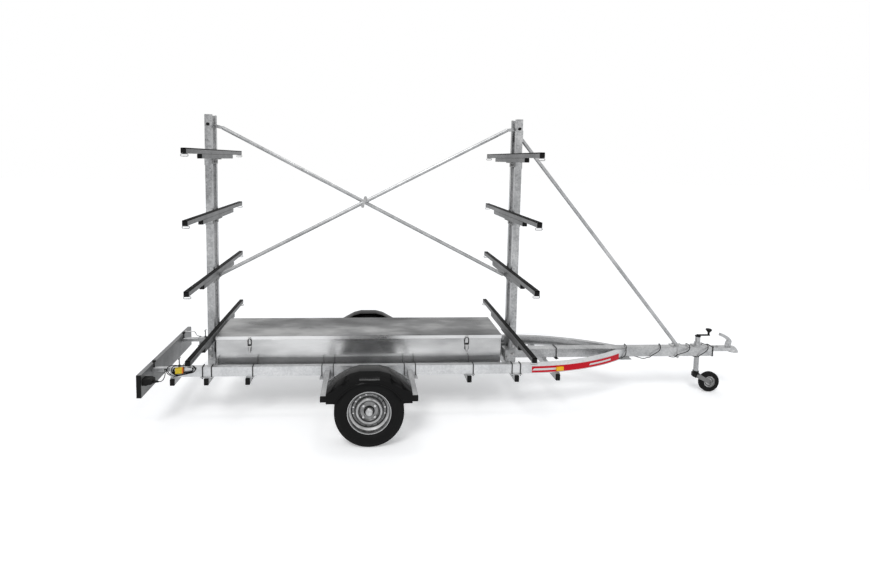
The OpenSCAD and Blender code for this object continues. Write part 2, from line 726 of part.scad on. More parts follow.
module brace_falling() from_axle() color(galvanised)
    brace(post_mid_rear, FALLING[0], FALLING[1], mast_front_x - bar_w / 2, brace_y);

module brace_rising() from_axle() color(galvanised)
    brace(post_mid_front, RISING[0], RISING[1], mast_rear_x + bar_w / 2, -brace_y);

// Place where the lines through two pairs of points cross
function crossing(a, b) =
    let (u = a[1] - a[0], v = b[1] - b[0], w = b[0] - a[0])
    a[0] + u * (w.x * v.y - w.y * v.x) / (u.x * v.y - u.y * v.x);

cross_at = crossing(FALLING, RISING);
module brace_clamp() from_axle() color(zinc)
    translate([cross_at[0], 0, cross_at[1]]) rotate([0, 20, 0]) {
        reach = brace_y + brace_r + run_gap;
        for (y = [-reach - 4, reach]) across(y, y + 4) difference() {
            union() {
                translate([-12, -36]) square([24, 72]);
                for (s = [-1, 1]) translate([0, s * 38]) circle(16);
            }
            for (s = [-1, 1]) translate([0, s * 38]) circle(6);
        }
        for (s = [-1, 1]) translate([0, -reach - 10, s * 38]) rotate([-90, 0, 0])
            cylinder(r = 5.8, h = 2 * reach + 20);
    }

module front_stay() from_axle() color(galvanised) {
    top_x = post_mid_front + post_w / 2;
    difference() {
        rod([top_x - 12, 0, stay_top_z + 15], [stay_foot_x + 12, 0, drawbar_top - 15], stay_d / 2);
        block([top_x - 60, -40, stay_top_z - 60], [top_x + clamp_t, 40, stay_top_z + 80]);
        block([stay_foot_x - 80, -40, drawbar_top - 60], [stay_foot_x + 80, 40, drawbar_top + clamp_t]);
    }
    block([top_x, -mast_half + 5, stay_top_z - 45], [top_x + clamp_t, mast_half - 5, stay_top_z + 55]);
    block([stay_foot_x - 62, -drawbar_w / 2 - 7, drawbar_top],
          [stay_foot_x + 58, drawbar_w / 2 + 7, drawbar_top + clamp_t]);
    block([stay_foot_x - 38, -drawbar_w / 2 - 7, drawbar_z - 8],
          [stay_foot_x - 8, drawbar_w / 2 + 7, drawbar_z]);
    both_sides() translate([stay_foot_x - 23, drawbar_w / 2 + 3.5, drawbar_z - 18])
        cylinder(r = 3, h = drawbar_h + clamp_t + 28);
}

// Box

lid_x0 = box_rear - lid_gap - box_t;
lid_x1 = box_front + lid_gap + box_t;
lid_y = box_w / 2 + lid_gap + box_t;
box_top = beam_top + box_h;
hinge_r = 6;
pin_r = 3;
hinge_y = lid_y + hinge_r;
hinge_z = box_top - lid_rim - hinge_r;
hinges_x = [box_rear + 300, (box_rear + box_front) / 2, box_front - 300];

module box_body() from_axle() color(bright_sheet) difference() {
    block([box_rear, -box_w / 2, beam_top], [box_front, box_w / 2, box_top]);
    block([box_rear + box_t, -box_w / 2 + box_t, beam_top + box_t],
          [box_front - box_t, box_w / 2 - box_t, box_top + 1]);
}

module box_lid() from_axle() color(bright_sheet) {
    difference() {
        block([lid_x0, -lid_y, box_top - lid_rim], [lid_x1, lid_y, box_top + run_gap + box_t]);
        block([lid_x0 + box_t, -lid_y + box_t, box_top - lid_rim - 1],
              [lid_x1 - box_t, lid_y - box_t, box_top + run_gap]);
    }
    for (x = hinges_x) difference() {
        union() {
            translate([x - 14, hinge_y, hinge_z]) rotate([0, 90, 0]) cylinder(r = hinge_r, h = 28);
            block([x - 14, lid_y, hinge_z], [x + 14, lid_y + 2.5, box_top]);
        }
        translate([x - 15, hinge_y, hinge_z]) rotate([0, 90, 0]) cylinder(r = pin_r + run_gap, h = 30);
    }
    for (x = latches_x)
        block([x - 16, -lid_y - 8, box_top - lid_rim + 12], [x + 16, -lid_y, box_top - lid_rim + 17]);
    for (x = pulls_x)
        block([x - pull_half, -lid_y - 9, box_top - lid_rim], [x + pull_half, -lid_y, box_top - lid_rim + 3]);
}

module lid_hinges() from_axle() color(zinc)
    for (x = hinges_x) {
        translate([x - 36, hinge_y, hinge_z]) rotate([0, 90, 0]) cylinder(r = pin_r, h = 72);
        for (s = [-1, 1]) {
            translate([x + s * 25 - 10, hinge_y, hinge_z]) rotate([0, 90, 0]) cylinder(r = hinge_r, h = 20);
            block([x + s * 25 - 10, box_w / 2, hinge_z - 40], [x + s * 25 + 10, box_w / 2 + 3, hinge_z - 4]);
            block([x + s * 25 - 10, box_w / 2, hinge_z - 10], [x + s * 25 + 10, hinge_y, hinge_z - 4]);
        }
    }

// Lips on the lid's near rim for lifting it
pull_rear = 550;
pull_front = 578;
pulls_x = [box_rear + pull_rear, box_front - pull_front];
pull_half = 58;

// Toggle latches on the near wall: base plate, lever and the loop that pulls the lid down
latch_rear = 288;
latch_front = 315;
latch_reach = 95;
latches_x = [box_rear + latch_rear, box_front - latch_front];
latch_half = 18;
latch_low = box_top - lid_rim - latch_reach;
latch_high = box_top - lid_rim - 20;
toggle_half = latch_half - 5;
toggle_low = latch_low + 7;
toggle_high = latch_low + 55;
loop_half = latch_half - 6;
module box_latches() from_axle() color(zinc)
    for (x = latches_x) translate([x, -box_w / 2, 0]) {
        block([-latch_half, -4, latch_low], [latch_half, 0, latch_high]);
        block([-toggle_half, -14, toggle_low], [toggle_half, -4, toggle_high]);
        for (s = [-1, 1]) rod([s * loop_half, -lid_gap - box_t - 4.5, toggle_high - 6],
                              [s * loop_half, -lid_gap - box_t - 4.5, box_top - lid_rim + 11.5], 3);
    }

// Light board, on its arms

// A channel that opens to the rear, with the lamps in it
module light_board() from_axle() color(galvanised)
    across(-board_half, board_half) difference() {
        translate([board_x - board_d, board_z]) square([board_d, board_h]);
        translate([board_x - board_d - 1, board_z + board_t]) square([board_d + 1 - board_t, board_h - 2 * board_t]);
    }

module board_caps() from_axle() color(black_plastic)
    both_sides() across(board_half, board_half + cap_t)
        translate([board_x - board_d, board_z]) square([board_d, board_h]);

// Rear lamps: a tray on the board's web and the lens in it. In front of the web, behind the near
// lamp, stands a socket box with a cone where the lead comes in
lamp_w = 230;
lamp_h = 110;
lamp_out_y = board_half - 10;
lamp_z = board_z + 60;
lens_d = 18;
lens_x = board_x - board_t - lamp_d;
lens_rim = 5;
socket_w = 62;
socket_h = 54;
socket_reach = 83;
socket_x = board_x + socket_reach;
socket_z = lamp_z + 38;
socket_slant = 12;
cone_len = 42;
cone_z = socket_z + 20;
module lamp_housings() from_axle() color(black_plastic) {
    both_sides()
        block([lens_x + lens_d, lamp_out_y - lamp_w, lamp_z], [board_x - board_t, lamp_out_y, lamp_z + lamp_h]);
    mirror([0, 1, 0]) {
        across(lamp_out_y - socket_w, lamp_out_y) polygon([
            [board_x, socket_z], [socket_x - 4 * socket_slant, socket_z], [socket_x, socket_z + socket_slant],
            [socket_x, socket_z + socket_h - socket_slant], [socket_x - 2 * socket_slant, socket_z + socket_h],
            [board_x, socket_z + socket_h]]);
        translate([socket_x, lamp_out_y - socket_w / 2, cone_z]) rotate([0, 90, 0])
            cylinder(r1 = 13, r2 = 6, h = cone_len);
    }
}

module lamp_lenses() from_axle() color(lens_red)
    both_sides() block([lens_x, lamp_out_y - lamp_w + lens_rim, lamp_z + lens_rim],
                       [lens_x + lens_d, lamp_out_y - lens_rim, lamp_z + lamp_h - lens_rim]);

arm_mid_y = rail_y - rail_t - arm_w / 2 - 1;
arm_z = rail_top - rail_t - run_gap - arm_w;
module board_arms() from_axle() color(galvanised)
    both_sides() along(board_x, board_x + arm_len)
        translate([arm_mid_y, arm_z]) tube_section(arm_w, arm_w, 3, 4);

// Knobs that hold the board to its arms
module board_knobs() from_axle() color(black_plastic)
    both_sides() translate([board_x + arm_w / 4, arm_mid_y, arm_z + arm_w]) {
        cylinder(r = 6, h = 46);
        translate([0, 0, 46]) cylinder(r = 15, h = 14);
    }

// Handles that clamp the arms in the rails
module arm_clamps() from_axle() color(zinc)
    both_sides() translate([-rail_rear + 70, rail_y - rail_w / 2, rail_top]) {
        cylinder(r = 11, h = 12);
        cylinder(r = 5, h = 75);
        rod([0, -20, 71], [0, 20, 71], 5);
    }

// Side marking on the curve of the rails

band_t = 1.5;
band_z = rail_z + 8;
band_h = 56;
module marker_bands() from_axle() color(lens_red)
    both_sides() translate([bend_start, bend_y, band_z])
        rotate([0, 0, 90 - 30]) rotate_extrude(angle = 29.5, $fn = 240)
        translate([bend_r, 0]) square([band_t, band_h]);

marker_x = 1727;
module marker_lamps() from_axle() color(lens_amber)
    both_sides() {
        turn = asin((marker_x - bend_start) / bend_r);
        translate([bend_start, bend_y, band_z + 12]) rotate([0, 0, -turn])
            block([-34, bend_r + band_t, 0], [34, bend_r + band_t + 16, 32]);
    }

// Jockey wheel

// The outer tube slides in the drawbar; the fork's stem turns inside its lower end
jockey_pin = 8;
wheel_axis = [jockey_x + jockey_trail, 0, jockey_wheel_r];
fork_top = 2 * jockey_wheel_r + 14;
module jockey_sleeve() from_axle() color(galvanised)
    translate([jockey_x, 0, 0]) rotate_extrude()
        translate([jockey_r - jockey_t, fork_top + run_gap]) square([jockey_t, jockey_top - fork_top - run_gap]);

module jockey_clamp() from_axle() color(galvanised)
    translate([jockey_x, 0, drawbar_top]) difference() {
        union() {
            block([-50, -drawbar_w / 2 + 4, 0], [50, drawbar_w / 2 - 4, 7]);
            cylinder(r = jockey_r + 8, h = 34);
            rod([0, -jockey_r - 4, 22], [0, -jockey_r - 48, 22], 5);
            rod([-26, -jockey_r - 46, 22], [26, -jockey_r - 46, 22], 5);
        }
        translate([0, 0, -1]) cylinder(r = jockey_r + run_gap, h = 40);
    }

// Crank: a cap with its arm on the tube, and a grip that widens upwards
crank_reach = 109;
module jockey_crank() from_axle() color(black_plastic)
    translate([jockey_x, 0, jockey_top]) {
        cylinder(r = jockey_r + 3, h = 8);
        cylinder(r = 12, h = 20);
        block([0, -8, 8], [crank_reach + 10, 8, 20]);
        translate([crank_reach, 0, 20]) rotate_extrude() polygon([
            [0, 0], [9, 0], [9, 18], [14, 26], [25, 42], [28, 49], [24, 55], [10, 59], [0, 60]]);
    }

// Fork: a stem in the outer tube and a boss under it
fork_low = fork_top - 62;
fork_inside = jockey_wheel_w / 2 + 5;
module jockey_fork() from_axle() color(black_plastic) {
    translate([jockey_x, 0, fork_low]) {
        cylinder(r = jockey_r + 5, h = fork_top - fork_low);
        cylinder(r = jockey_r - jockey_t - run_gap, h = 180);
    }
    block([jockey_x - 22, -fork_inside, fork_low], [jockey_x + 26, fork_inside, fork_low + 40]);
}

// The fork's two arms, and the axle between them
arm_plate = 5;
module jockey_arms() from_axle() color(zinc) {
    both_sides() across(fork_inside, fork_inside + arm_plate) {
        translate([wheel_axis.x, wheel_axis.z]) circle(17);
        polygon([[jockey_x - 6, fork_low + 34], [jockey_x - 14, fork_low + 4], [wheel_axis.x - 10, wheel_axis.z - 13],
                 [wheel_axis.x + 10, wheel_axis.z + 13], [jockey_x + 24, fork_low + 36]]);
    }
    translate([wheel_axis.x, -fork_inside - 12, wheel_axis.z]) rotate([-90, 0, 0])
        cylinder(r = jockey_pin, h = 2 * fork_inside + 24);
}

module at_jockey() from_axle() translate(wheel_axis) rotate([90, 0, 0]) children();

module jockey_tyre() at_jockey() color(black_rubber) rotate_extrude($fn = 72) {
    r = jockey_wheel_r;
    w = jockey_wheel_w / 2;
    polygon([[r * 0.56, -w + 8], [r * 0.62, -w + 2], [r * 0.84, -w], [r - 6, -w + 6], [r, -w + 14],
             [r, w - 14], [r - 6, w - 6], [r * 0.84, w], [r * 0.62, w - 2], [r * 0.56, w - 8]]);
}

module jockey_rim() at_jockey() color(zinc) rotate_extrude($fn = 72) {
    w = jockey_wheel_w / 2;
    polygon([[jockey_pin + run_gap, -w - 2], [20, -w - 2], [22, -5], [jockey_wheel_r * 0.5, -5],
             [jockey_wheel_r * 0.53, -w + 6], [jockey_wheel_r * 0.56, -w + 8], [jockey_wheel_r * 0.56, w - 8],
             [jockey_wheel_r * 0.53, w - 6], [jockey_wheel_r * 0.5, 5], [22, 5], [20, w + 2],
             [jockey_pin + run_gap, w + 2]]);
}

// Cables

cable_r = 3.5;

function unit(v) = v / norm(v);

// Direction of a route at one of its points
function heading(path, i) = unit(path[min(i + 1, len(path) - 1)] - path[max(i - 1, 0)]);

// Part of v that lies square to direction d, as a unit vector
function square_to(v, d) = unit(v - (v * d) * d);

// Side vectors of the rings along a route, each carried on from the one before it
function sides(path) = [for (i = 0, n = square_to([0.1, 0.2, 1], heading(path, 0)); i < len(path);
    i = i + 1, n = i < len(path) ? square_to(n, heading(path, i)) : n) n];

// Round tube swept along a route
module swept_tube(path, r, n = 8) {
    side = sides(path);
    points = [for (i = [0:len(path) - 1], k = [0:n - 1])
        path[i] + r * (cos(k * 360 / n) * side[i] + sin(k * 360 / n) * cross(heading(path, i), side[i]))];
    last = (len(path) - 1) * n;
    polyhedron(points, concat([[for (k = [0:n - 1]) k]], [[for (k = [n - 1:-1:0]) last + k]],
        [for (i = [0:len(path) - 2], k = [0:n - 1])
            [i * n + k, (i + 1) * n + k, (i + 1) * n + (k + 1) % n, i * n + (k + 1) % n]]));
}

// Winding round the drawbar: turns counted from the near lower edge, and place along the drawbar as
// a share of the way from the rails' meeting point to the parked plug
WRAP = [[-0.75, 0.014], [-0.5, 0.048], [-0.25, 0.112], [0, 0.295], [0.25, 0.416], [0.5, 0.462], [0.75, 0.532],
        [1, 0.5875],
        [1.25, 0.762], [1.5, 0.788], [1.75, 0.821], [2, 0.869], [2.25, 0.98]];
plug_x = jockey_x + 96;
function wound_x(share) = meet_x + share * (plug_x - meet_x);
wrap_gap = 11;
wrap_round = 26;

// Three points of the winding's bend round the drawbar's edge that it meets after some turns
function wrap_bend(turn) = [for (lean = [30, 0, -30])
    let (a = -135 - turn * 360, c = sign(cos(a)), s = sign(sin(a)),
         x = wound_x(lookup(turn, WRAP)) - lean / 5)
    [x, c * (drawbar_w / 2 + wrap_gap - wrap_round) + wrap_round * cos(a + lean),
     drawbar_z + drawbar_h / 2 + s * (drawbar_h / 2 + wrap_gap - wrap_round) + wrap_round * sin(a + lean)]];

function winding(first, last) = [for (turn = [first:0.25:last]) each wrap_bend(turn)];

// Place in the near rail's channel
channel_in = rail_t + cable_r + 1;
channel_z = rail_z + rail_t + cable_r + 0.5;
function in_channel(x) = [x, x <= bend_start ? channel_in - rail_y
    : -bend_y - sqrt(pow(bend_r - channel_in, 2) - pow(x - bend_start, 2)), channel_z];
CHANNEL = [for (i = [0:4]) in_channel(20 - rail_rear + i * (bend_start + rail_rear - 20) / 4),
           for (i = [1:5]) in_channel(bend_start + i * 180)];

// From the hank round the rail's open rear end
rail_end = [-rail_rear, -rail_y, rail_z];
FROM_HANK = [for (d = [[6.2, -7, 57], [-6, -7, 56.5], [-21, -7, 50], [-30, -6, 37], [-28, -3, 23], [-18, 3, 13],
                       [-2, channel_in, channel_z + 1 - rail_z]]) rail_end + d];

// Out through the hole at the rail's front end, and round the drawbar's near side
hole_x = meet_x - 79;
cable_hole = in_channel(hole_x) + [0, -10, 7];
THROUGH_HOLE = [for (d = [[-27, -4, -2], [-9, -1, 0], [15, 2, 1], [37, 12, 2], [59, 25, 5], [75, 32, 14],
                         [83, 37, 29],
                          [87, 38, 48]]) cable_hole + d];

// Slack under the drawbar, and the last bend down into the parked plug
SLACK = [[wound_x(0.176), 8, drawbar_z - 20], [wound_x(0.24), -27, drawbar_z - 23]];
plug_gap = 24;
PLUG = [plug_x, drawbar_w / 2 + plug_gap, drawbar_z];
TO_PLUG = [for (d = [[-25, -28, 11], [-18, -17, 9.5], [-9, -7, 5.5], [-2, -1, -1], [0, 0, -7], [0, 0, -13.2]])
    PLUG + [0, 0, drawbar_h] + d];

// Main cable: from the hank along the near rail's channel, round the drawbar and into its parked plug
module frame_cable() from_axle() color(black_rubber)
    swept_tube(concat(FROM_HANK, CHANNEL, THROUGH_HOLE, winding(-0.75, -0.25), SLACK, winding(0, 2.25), TO_PLUG),
               cable_r);

module cable_plug() from_axle() color(black_plastic)
    translate(PLUG) {
        translate([0, 0, -8]) cylinder(r = 22, h = 66);
        translate([0, 0, 58]) cylinder(r1 = 18, r2 = 9, h = 19.5);
        block([-14, -24, 20], [14, 0, 44]);
    }

// Lead from the near lamp to the hank that hangs on the near rail's rear end
HANK_SIZE = [214, 13, 88];
HANK = rail_end + [113, -HANK_SIZE[1] / 2 - run_gap, 67];
cone_tip = [socket_x + cone_len, socket_w / 2 - lamp_out_y, cone_z];
hank_end = rail_end + [6.1, -7, 76];
LEAD = concat(
    [for (d = [[0.4, 0, 0], [9, 0, 0], [23, 3, 4], [34, 12, 17], [38, 25, 35], [33, 45, 51], [22, 67, 60]])
        cone_tip + d],
    [for (d = [[-25, -57, 23], [-32, -34, 18], [-28, -13, 9], [-15, -1, 2], [-5, 0, 0.2], [0, 0, 0]]) hank_end + d]);
module lamp_lead() from_axle() color(black_rubber) swept_tube(LEAD, cable_r);

module lead_hank() from_axle() color(black_rubber) translate(HANK) {
    half = HANK_SIZE[2] / 2;
    across(-HANK_SIZE[1] / 2, HANK_SIZE[1] / 2) {
        square([HANK_SIZE[0] - 2 * half, 2 * half], center = true);
        for (s = [-1, 1]) translate([s * (HANK_SIZE[0] / 2 - half), 0]) circle(half);
    }
}

rail_near();
rail_far();
cross_beams();
beam_caps();
clamp_plates();
u_bolts();
drawbar();
drawbar_flange();
coupling_head();
coupling_lever();
axle_tube();
axle_brackets();
swing_arms();
stub_axles();
tyre_near();
rim_near();
hub_near();
tyre_far();
rim_far();
hub_far();
guard_near();
guard_far();
guard_beams();
mast_rear();
mast_front();
mast_feet();
rack_bars();
rack_supports();
rack_pads();
rack_caps();
rack_rings();
rack_clamps();
brace_rising();
brace_falling();
brace_clamp();
front_stay();
box_body();
box_lid();
lid_hinges();
box_latches();
light_board();
board_caps();
lamp_housings();
lamp_lenses();
board_arms();
board_knobs();
arm_clamps();
marker_bands();
marker_lamps();
jockey_sleeve();
jockey_clamp();
jockey_crank();
jockey_fork();
jockey_arms();
jockey_tyre();
jockey_rim();
frame_cable();
cable_plug();
lamp_lead();
lead_hank();
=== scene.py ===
import json
import math

import bmesh
import bpy
import numpy as np
from mathutils import Matrix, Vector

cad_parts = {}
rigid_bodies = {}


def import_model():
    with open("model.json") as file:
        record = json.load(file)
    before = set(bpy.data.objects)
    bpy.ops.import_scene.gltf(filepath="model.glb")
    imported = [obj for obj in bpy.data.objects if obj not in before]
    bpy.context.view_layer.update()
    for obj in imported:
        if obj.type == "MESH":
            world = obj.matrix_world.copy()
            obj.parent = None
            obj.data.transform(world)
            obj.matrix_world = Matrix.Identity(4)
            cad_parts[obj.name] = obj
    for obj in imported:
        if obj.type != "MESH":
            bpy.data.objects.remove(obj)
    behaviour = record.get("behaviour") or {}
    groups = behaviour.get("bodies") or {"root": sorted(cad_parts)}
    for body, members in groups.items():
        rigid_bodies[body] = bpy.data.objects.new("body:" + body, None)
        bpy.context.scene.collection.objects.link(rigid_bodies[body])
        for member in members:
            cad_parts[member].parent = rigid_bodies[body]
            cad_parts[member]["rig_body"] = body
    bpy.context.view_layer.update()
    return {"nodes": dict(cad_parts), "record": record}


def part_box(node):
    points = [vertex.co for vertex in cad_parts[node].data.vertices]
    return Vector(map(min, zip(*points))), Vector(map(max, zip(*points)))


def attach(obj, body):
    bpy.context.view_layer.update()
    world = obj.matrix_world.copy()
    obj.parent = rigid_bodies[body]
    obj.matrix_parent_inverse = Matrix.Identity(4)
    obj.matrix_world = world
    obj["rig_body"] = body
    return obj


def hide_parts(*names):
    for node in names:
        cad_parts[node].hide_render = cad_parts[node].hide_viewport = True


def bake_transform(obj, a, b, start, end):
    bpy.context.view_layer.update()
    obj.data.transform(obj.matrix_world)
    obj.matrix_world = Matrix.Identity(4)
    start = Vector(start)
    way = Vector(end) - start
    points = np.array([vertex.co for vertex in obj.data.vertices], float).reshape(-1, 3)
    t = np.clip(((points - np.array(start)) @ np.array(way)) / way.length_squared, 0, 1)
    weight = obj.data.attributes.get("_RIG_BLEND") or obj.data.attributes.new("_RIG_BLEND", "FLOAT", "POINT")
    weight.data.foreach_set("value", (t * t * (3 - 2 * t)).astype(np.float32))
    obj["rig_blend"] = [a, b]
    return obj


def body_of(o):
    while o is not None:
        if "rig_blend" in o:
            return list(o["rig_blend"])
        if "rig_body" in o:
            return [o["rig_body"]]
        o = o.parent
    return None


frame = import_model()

SLOT_OF = {part["node"]: part["material_slot"] for part in frame["record"]["subparts"]}
BODY_OF = {node: body_of(made)[0] for node, made in frame["nodes"].items()}


def axle_origin():
    """Point on the ground under the axle, on the trailer's middle plane, found from the near tyre's box."""
    low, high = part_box("tyre_near")
    return np.array([(low.x + high.x) / 2, 0.0, 0.0])


AXLE = axle_origin()


def at(points):
    """Millimetres from the axle's ground point, as the row's metres."""
    return AXLE + np.asarray(points, dtype=float) / 1000.0


# Main places, in millimetres from the axle's ground point: X ahead, Y to the far side, Z up

WHEEL_HIGH, WHEEL_OUT = 280.5, 747.5
JOCKEY_AXLE = (3405, 0, 100)
REAR_MAST, FRONT_MAST = -1407.0, 1324.0
REAR_BRACE, FRONT_BRACE = -1457.0, 1374.0
RACK_LEVELS = (706.0, 1253.0, 1800.0, 2347.0)
BOX_SIDE, BOX_REAR, BOX_FRONT = 232.5, -1362.0, 1212.0
U_BOLT = 1820.0
CORD = 7.0


# Camera


def add_camera():
    """Camera fitted to the photograph: place, turn and roll from the axle's frame, and the lens and shift that
    give its focal length and principal point in the 870 x 569 frame."""
    width, height, focal_px, centre_px, sensor = 870, 569, 463.70, (387.77, 193.18), 36.0
    yaw, pitch, roll = 0.0495, 0.0741, 0.0126
    ahead = np.array([math.sin(yaw), math.cos(yaw), 0.0])
    right = np.array([math.cos(yaw), -math.sin(yaw), 0.0])
    up = np.array([0.0, 0.0, 1.0])
    look = ahead * math.cos(pitch) - up * math.sin(pitch)
    top = up * math.cos(pitch) + ahead * math.sin(pitch)
    side = right * math.cos(roll) + top * math.sin(roll)
    head = top * math.cos(roll) - right * math.sin(roll)
    place = AXLE + np.array([-0.0496, -4.3316, 2.2826])
    camera = bpy.data.objects.new("camera", bpy.data.cameras.new("camera"))
    bpy.context.scene.collection.objects.link(camera)
    camera.matrix_world = Matrix([[side[i], head[i], -look[i], place[i]] for i in range(3)] + [[0, 0, 0, 1]])
    camera.data.sensor_width = sensor
    camera.data.lens = focal_px * sensor / width
    camera.data.shift_x = (width / 2 - centre_px[0]) / width
    camera.data.shift_y = (centre_px[1] - height / 2) / width
    camera.data.clip_end = 200.0
    bpy.context.scene.camera = camera


add_camera()


# Materials: every finish is worked out from Object coordinates, in metres


class Finish:
    """A new material with one Principled shader, and short ways to add the nodes that feed it."""

    def __init__(self, name, **constants):
        self.material = bpy.data.materials.new(name)
        self.material.use_nodes = True
        self.tree = self.material.node_tree
        self.tree.nodes.clear()
        self.shader = self.node("ShaderNodeBsdfPrincipled", **constants)
        output = self.node("ShaderNodeOutputMaterial")
        self.tree.links.new(self.shader.outputs["BSDF"], output.inputs["Surface"])
        self.place = self.node("ShaderNodeTexCoord").outputs["Object"]

    def node(self, kind, settings=None, **inputs):
        """Adds a node. An input named like Base_Color takes a number, a colour or another node's output."""
        made = self.tree.nodes.new(kind)
        for key, value in (settings or {}).items():
            setattr(made, key, value)
        for key, value in inputs.items():
            self.feed(made.inputs[key.replace("_", " ")], value)
        return made

    def feed(self, socket, value):
        """Links another node's output to the socket, or sets the socket to a number or colour."""
        if isinstance(value, bpy.types.NodeSocket):
            self.tree.links.new(value, socket)
        else:
            socket.default_value = value

    def stretched(self, x, y, z):
        """Object coordinates multiplied along each axis, which draws a pattern out along the smallest."""
        return self.node("ShaderNodeMapping", Vector=self.place, Scale=(x, y, z)).outputs["Vector"]

    def coordinate(self, axis):
        """Object coordinate along X, Y or Z."""
        return self.node("ShaderNodeSeparateXYZ", Vector=self.place).outputs[axis]

    def noise(self, scale, detail, place=None):
        """Cloudy pattern between 0 and 1."""
        cloud = self.node("ShaderNodeTexNoise", Vector=place or self.place, Scale=scale, Detail=detail)
        return cloud.outputs["Fac"]

    def crystals(self, scale):
        """One random number between 0 and 1 for each cell of a Voronoi pattern."""
        cells = self.node("ShaderNodeTexVoronoi", Vector=self.place, Scale=scale)
        parts = self.node("ShaderNodeSeparateColor", Color=cells.outputs["Color"])
        return parts.outputs["Red"]

    def spread(self, factor, low, high, start, end):
        """Maps a pattern's start to end onto low to high."""
        return self.node(
            "ShaderNodeMapRange", Value=factor, From_Min=start, From_Max=end, To_Min=low, To_Max=high
        ).outputs["Result"]

    def maths(self, operation, first, second):
        """Math node on two patterns or numbers."""
        made = self.node("ShaderNodeMath", {"operation": operation})
        self.feed(made.inputs[0], first)
        self.feed(made.inputs[1], second)
        return made.outputs[0]

    def weighed(self, first, first_share, second, second_share):
        """Two patterns added together, each times its own share."""
        part, rest = self.maths("MULTIPLY", first, first_share), self.maths("MULTIPLY", second, second_share)
        return self.maths("ADD", part, rest)

    def blend(self, factor, first, second):
        """Colour that goes from first to second as factor goes from 0 to 1. The Mix node has its two colours at
        sockets 6 and 7, and their mix at output 2."""
        made = self.node("ShaderNodeMix", {"data_type": "RGBA"})
        for socket, value in ((0, factor), (6, first), (7, second)):
            self.feed(made.inputs[socket], value)
        return made.outputs[2]

    def steps(self, factor, *stops):
        """Colour ramp through (place, colour) stops."""
        made = self.node("ShaderNodeValToRGB", Fac=factor)
        ramp = made.color_ramp
        while len(ramp.elements) < len(stops):
            ramp.elements.new(1.0)
        for element, (place, colour) in zip(ramp.elements, stops):
            element.position, element.color = place, colour
        return made.outputs["Color"]

    def bump(self, height, strength, distance):
        """Bumps from a height pattern, on the shader's normal."""
        made = self.node("ShaderNodeBump", Height=height, Strength=strength, Distance=distance)
        self.feed(self.shader.inputs["Normal"], made.outputs["Normal"])

    def wear(self, **inputs):
        """Feeds patterns to the shader."""
        for key, value in inputs.items():
            self.feed(self.shader.inputs[key.replace("_", " ")], value)
        return self.material


def grey(level, tint=0.0):
    """Grey of a linear level, a little bluer for a positive tint."""
    return (level * (1 - tint), level, level * (1 + tint), 1.0)


def zinc_coat(name, dark, light, rough, grain):
    """Hot-dip zinc: spangle crystals of two sizes, slow clouds of tarnish, fine runs down the piece."""
    f = Finish(name, Metallic=0.85)
    coarse = f.crystals(grain)
    fine = f.crystals(grain * 2.7)
    cloud = f.noise(4.0, 4.0)
    runs = f.noise(11.0, 3.0, f.stretched(1.0, 1.0, 0.35))
    spangle = f.weighed(coarse, 0.3, fine, 0.16)
    tarnish = f.weighed(cloud, 0.75, runs, 0.45)
    mixed = f.maths("ADD", f.spread(tarnish, 0.0, 0.62, 0.38, 0.86), spangle)
    f.bump(f.noise(38.0, 2.0), 0.12, 0.004)
    middle = (dark + light) / 2
    return f.wear(
        Base_Color=f.steps(mixed, (0.08, grey(dark, 0.015)), (0.55, grey(middle, 0.01)), (0.98, grey(light))),
        Roughness=f.spread(spangle, rough - 0.08, rough + 0.1, 0.0, 0.46),
    )


def rolled_sheet(name, dark, light, rough):
    """New bright sheet: clouds of painted reflection drawn out along the sheet, faint rolling lines, and a slow
    waviness that bends what it mirrors."""
    f = Finish(name, Metallic=0.8, Specular_IOR_Level=0.4)
    cloud = f.noise(1.6, 3.0, f.stretched(0.8, 1.4, 2.4))
    lines = f.noise(60.0, 2.0, f.stretched(0.03, 1.0, 1.0))
    smears_and_painted_reflections = f.noise(7.0, 4.0, f.stretched(0.5, 1.0, 1.0))
    # The clouds and smears in the colour are painted reflections of the surroundings.
    mixed = f.weighed(cloud, 0.8, smears_and_painted_reflections, 0.2)
    f.bump(f.noise(2.2, 1.0, f.stretched(0.7, 1.2, 1.6)), 0.35, 0.02)
    return f.wear(
        Base_Color=f.steps(mixed, (0.36, grey(dark, 0.01)), (0.5, grey((dark + light) / 2)), (0.64, grey(light))),
        Roughness=f.spread(lines, rough - 0.04, rough + 0.08, 0.3, 0.7),
    )


def plated(name, level, rough):
    """Zinc-plated hardware: an even grey with duller, darker spots."""
    f = Finish(name, Metallic=1.0)
    spots = f.noise(60.0, 3.0)
    return f.wear(
        Base_Color=f.steps(spots, (0.3, grey(level * 0.72)), (0.7, grey(level))),
        Roughness=f.spread(spots, rough, rough + 0.14, 0.3, 0.7),
    )


def moulded(name, level, rough, grain, dust, shine):
    """Moulded plastic or rubber: fine grain, with a breath of grey dust on faces that look up."""
    f = Finish(name, Specular_IOR_Level=shine)
    normal = f.node("ShaderNodeNewGeometry").outputs["Normal"]
    up = f.node("ShaderNodeSeparateXYZ", Vector=normal).outputs["Z"]
    patches = f.spread(f.noise(24.0, 4.0), 0.2, 1.0, 0.35, 0.7)
    dusty = f.maths("MULTIPLY", f.spread(up, 0.0, dust, 0.2, 1.0), patches)
    f.bump(f.noise(grain, 2.0), 0.08, 0.0006)
    return f.wear(
        Base_Color=f.blend(dusty, grey(level), grey(0.32)),
        Roughness=f.spread(f.noise(18.0, 3.0), rough - 0.05, rough + 0.08, 0.3, 0.7),
    )


